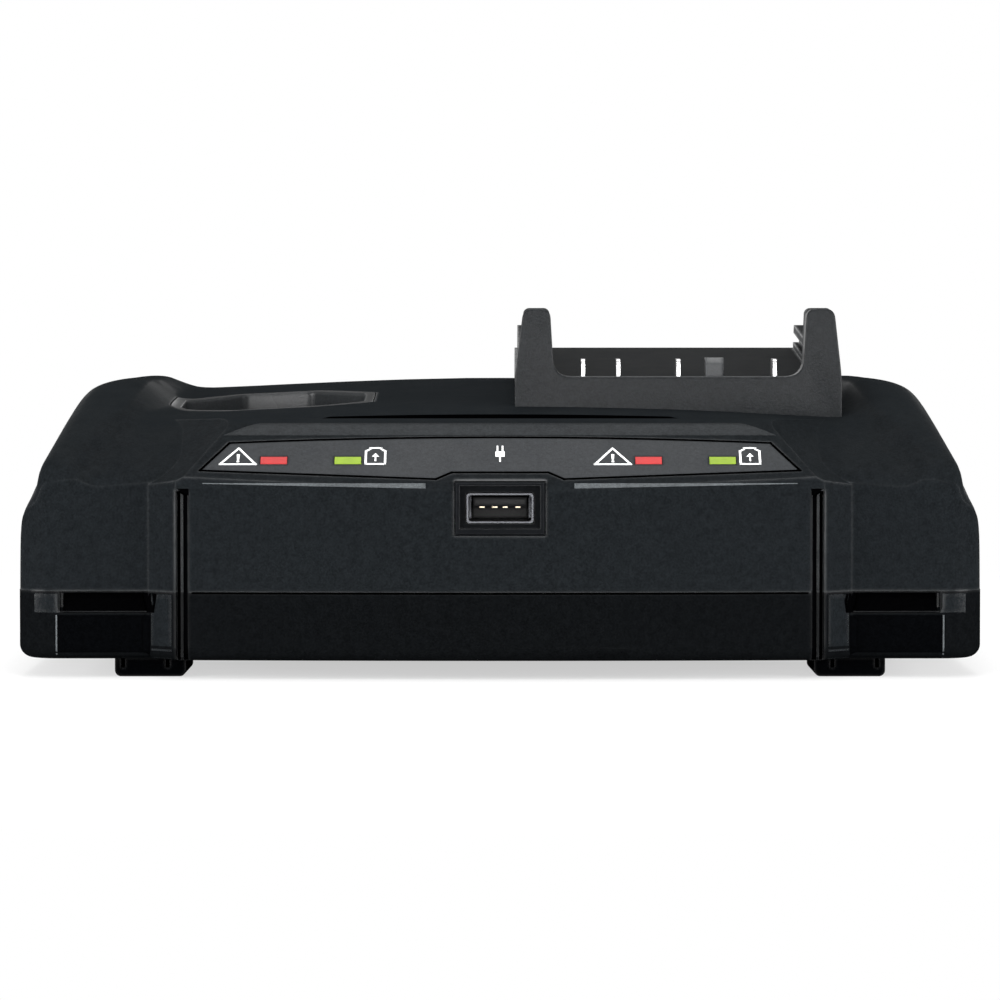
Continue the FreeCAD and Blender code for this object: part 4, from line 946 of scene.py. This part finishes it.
def icon_fault(x, up, height, width):
    """A fault pictogram: a triangle with a plain bar and dot."""
    half = height * FAULT_HALF
    outline = [(x - half, up), (x + half, up), (x, up + height)]
    return line_bars(outline, width) + block_bars(x, up, FAULT_MARKS)


def icon_pack(x, up, height, width):
    """A battery pack pictogram with an arrow for charging."""
    half = height * PACK_HALF
    top = up + height
    neck = half - PACK_CORNER
    outline = [
        (x - half, up), (x + half, up), (x + half, top - PACK_SHOULDER), (x + neck, top - PACK_STEP),
        (x + neck, top), (x - neck, top), (x - neck, top - PACK_STEP), (x - half, top - PACK_SHOULDER),
    ]
    return line_bars(outline, width) + block_bars(x, up, ARROW_MARKS)


def icon_plug(x, up, height):
    """A plug pictogram: body, two pins and a lead."""
    pins = [
        (
            (pin - PIN_HALF, PIN_FOOT), (pin + PIN_HALF, PIN_FOOT),
            (pin + PIN_HALF, height), (pin - PIN_HALF, height),
        )
        for pin in PLUG_PINS
    ]
    return block_bars(x, up, [PLUG_BODY, *pins, PLUG_LEAD])


# Middle and foot of the pictograms of the left bay and of the plug, and the way to the right bay's
FAULT_PLACE, PACK_PLACE, PLUG_PLACE = (-51.3, 4.6), (-24.4, 4.7), (0.0, 5.4)
BAY_SHIFTS = (0.0, 73.4)


class CHARGER_OT_artwork(bpy.types.Operator):
    """Print the pictograms on the light panel"""
    bl_idname = "charger.artwork"
    bl_label = "Panel pictograms"

    def execute(self, context):
        panel = context.scene.charger_panel
        tall = panel.icon_height / MM
        line = panel.line_width / MM
        strokes = []
        for shift in BAY_SHIFTS:
            strokes += icon_fault(FAULT_PLACE[0] + shift, FAULT_PLACE[1], tall, line)
            strokes += icon_pack(PACK_PLACE[0] + shift, PACK_PLACE[1], tall, line)
        strokes += icon_plug(*PLUG_PLACE, tall)
        flat_strokes("panel_pictograms", strokes, "panel_ink")
        flat_strokes("panel_outline", line_bars(panel_edge(), panel.outline_width / MM), "panel_line")
        return {"FINISHED"}


# Studio: each lamp's name, place, size and power in metres and watts
LAMPS = (
    ("left_softbox", (-0.75, -0.42, 0.12), (0.5, 0.3), 11.0),
    ("right_softbox", (0.75, -0.42, 0.12), (0.5, 0.3), 11.0),
    ("top_softbox", (0, 0.15, 0.9), (0.45, 0.5), 5.0),
    ("crease_strip", (0, -0.65, 0.62), (0.7, 0.06), 3.2),
    ("front_softbox", (0, -1.4, 0.12), (1.2, 0.2), 13.0),
)
LAMP_AIM = (0, 0, 0.04)
# The white background's strength as a light
SKY_LIGHT = 0.45
# Half of the floor's side, its place under the feet, and the two tones of its paper
FLOOR_SIZE = 6.0
FLOOR_DROP = 0.0001
PAPER_TONES = ((0.86, 0.86, 0.86), (0.9, 0.9, 0.9))
# How fast the floor's own white comes in, where that begins, and its share under the object
FLOOR_FADE, FLOOR_START, FLOOR_NEAR = 3.5, -0.2, 0.55


def area_light(name, place, target, size, power):
    """A soft rectangular lamp that faces a point."""
    data = bpy.data.lights.new(name, "AREA")
    data.shape = "RECTANGLE"
    data.size, data.size_y = size
    data.energy = power
    obj = bpy.data.objects.new(name, data)
    obj.location = place
    obj.rotation_euler = (Vector(target) - Vector(place)).to_track_quat("-Z", "Y").to_euler()
    bpy.context.collection.objects.link(obj)


def seen_directly(tree):
    """1 for rays that show the background: to the camera, off gloss or through glass."""
    path = tree.nodes.new("ShaderNodeLightPath")
    seen = maths(tree, "MAXIMUM", path.outputs["Is Camera Ray"], path.outputs["Is Transmission Ray"])
    return maths(tree, "MAXIMUM", seen, path.outputs["Is Glossy Ray"])


def studio_paper():
    """White paper that shows its shadow near the object and its own white further out."""
    material, tree, shader = blank_material("studio_paper")
    place = object_place(tree)
    fibre = noise(tree, place, 400.0, detail=3.0, roughness=0.6)
    tree.links.new(tint(tree, fibre, *PAPER_TONES), shader.inputs["Base Color"])
    shader.inputs["Roughness"].default_value = 0.9
    shader.inputs["Specular IOR Level"].default_value = 0.0
    glow = tree.nodes.new("ShaderNodeEmission")
    ring = tree.nodes.new("ShaderNodeVectorMath")
    ring.operation = "LENGTH"
    tree.links.new(place, ring.inputs[0])
    away = maths(tree, "MULTIPLY_ADD", ring.outputs["Value"], FLOOR_FADE, FLOOR_START, clamp=True)
    own_white = maths(tree, "MULTIPLY_ADD", away, 1.0 - FLOOR_NEAR, FLOOR_NEAR)
    mix = tree.nodes.new("ShaderNodeMixShader")
    tree.links.new(maths(tree, "MULTIPLY", seen_directly(tree), own_white), mix.inputs["Fac"])
    tree.links.new(shader.outputs[0], mix.inputs[1])
    tree.links.new(glow.outputs[0], mix.inputs[2])
    tree.links.new(mix.outputs[0], tree.nodes["Material Output"].inputs["Surface"])
    return material


def studio_floor(scene):
    """The floor, just under the feet."""
    mesh = bmesh.new()
    bmesh.ops.create_grid(mesh, x_segments=1, y_segments=1, size=FLOOR_SIZE)
    data = bpy.data.meshes.new("studio_floor")
    mesh.to_mesh(data)
    mesh.free()
    floor = bpy.data.objects.new("studio_floor", data)
    floor.location.z = -FLOOR_DROP
    scene.collection.objects.link(floor)
    floor.data.materials.append(studio_paper())


def studio_world(level):
    """A white background, dimmer as a light than as it looks."""
    world = bpy.data.worlds.new("studio_world")
    world.use_nodes = True
    sky = world.node_tree
    light = SKY_LIGHT * level
    strength = maths(sky, "MULTIPLY_ADD", seen_directly(sky), 1.0 - light, light)
    sky.nodes["Background"].inputs["Color"].default_value = (1, 1, 1, 1)
    sky.links.new(strength, sky.nodes["Background"].inputs["Strength"])
    return world


def studio_camera(stage):
    """The camera in front of the charger, looking a little down."""
    lens = bpy.data.cameras.new("camera")
    lens.lens = stage.focal_length
    lens.sensor_width = 36.0
    lens.clip_start = 0.01
    lens.clip_end = 50.0
    camera = bpy.data.objects.new("camera", lens)
    camera.location = (0.0, FRONT - stage.camera_distance, stage.camera_height)
    camera.rotation_euler = (math.radians(90) - stage.camera_pitch, 0, 0)
    return camera


class CHARGER_OT_stage(bpy.types.Operator):
    """Set up the floor, the lamps, the world and the camera"""
    bl_idname = "charger.stage"
    bl_label = "Studio"

    def execute(self, context):
        scene = context.scene
        stage = scene.charger_stage
        scene.view_settings.view_transform = "Standard"
        studio_floor(scene)
        scene.world = studio_world(stage.light_level)
        for name, place, size, power in LAMPS:
            area_light(name, place, LAMP_AIM, size, power * stage.light_level)
        camera = studio_camera(stage)
        scene.collection.objects.link(camera)
        scene.camera = camera
        return {"FINISHED"}


class CHARGER_PT_sidebar(bpy.types.Panel):
    """The charger's settings and builders"""
    bl_label = "Battery charger"
    bl_idname = "CHARGER_PT_sidebar"
    bl_space_type = "VIEW_3D"
    bl_region_type = "UI"
    bl_category = "Charger"

    def draw(self, context):
        for group in SETTINGS:
            settings = getattr(context.scene, group)
            for name in settings.bl_rna.properties.keys():
                if name not in {"rna_type", "name"}:
                    self.layout.prop(settings, name)
        for operator in OPERATORS:
            self.layout.operator(operator.bl_idname)


SETTINGS = {
    "charger_finish": ChargerFinish,
    "charger_panel": ChargerPanel,
    "charger_trim": ChargerTrim,
    "charger_stage": ChargerStage,
}
OPERATORS = (
    CHARGER_OT_finishes,
    CHARGER_OT_trim,
    CHARGER_OT_bay,
    CHARGER_OT_spring,
    CHARGER_OT_artwork,
    CHARGER_OT_stage,
)


def register():
    for name, kind in SETTINGS.items():
        bpy.utils.register_class(kind)
        setattr(bpy.types.Scene, name, bpy.props.PointerProperty(type=kind))
    for kind in (*OPERATORS, CHARGER_PT_sidebar):
        bpy.utils.register_class(kind)


def unregister():
    for kind in reversed((*OPERATORS, CHARGER_PT_sidebar)):
        bpy.utils.unregister_class(kind)
    for name, kind in SETTINGS.items():
        delattr(bpy.types.Scene, name)
        bpy.utils.unregister_class(kind)


def main():
    register()
    bpy.ops.charger.finishes()
    bpy.ops.charger.trim()
    bpy.ops.charger.bay()
    bpy.ops.charger.spring()
    bpy.ops.charger.artwork()
    bpy.ops.charger.stage()


if __name__ == "__main__":
    main()
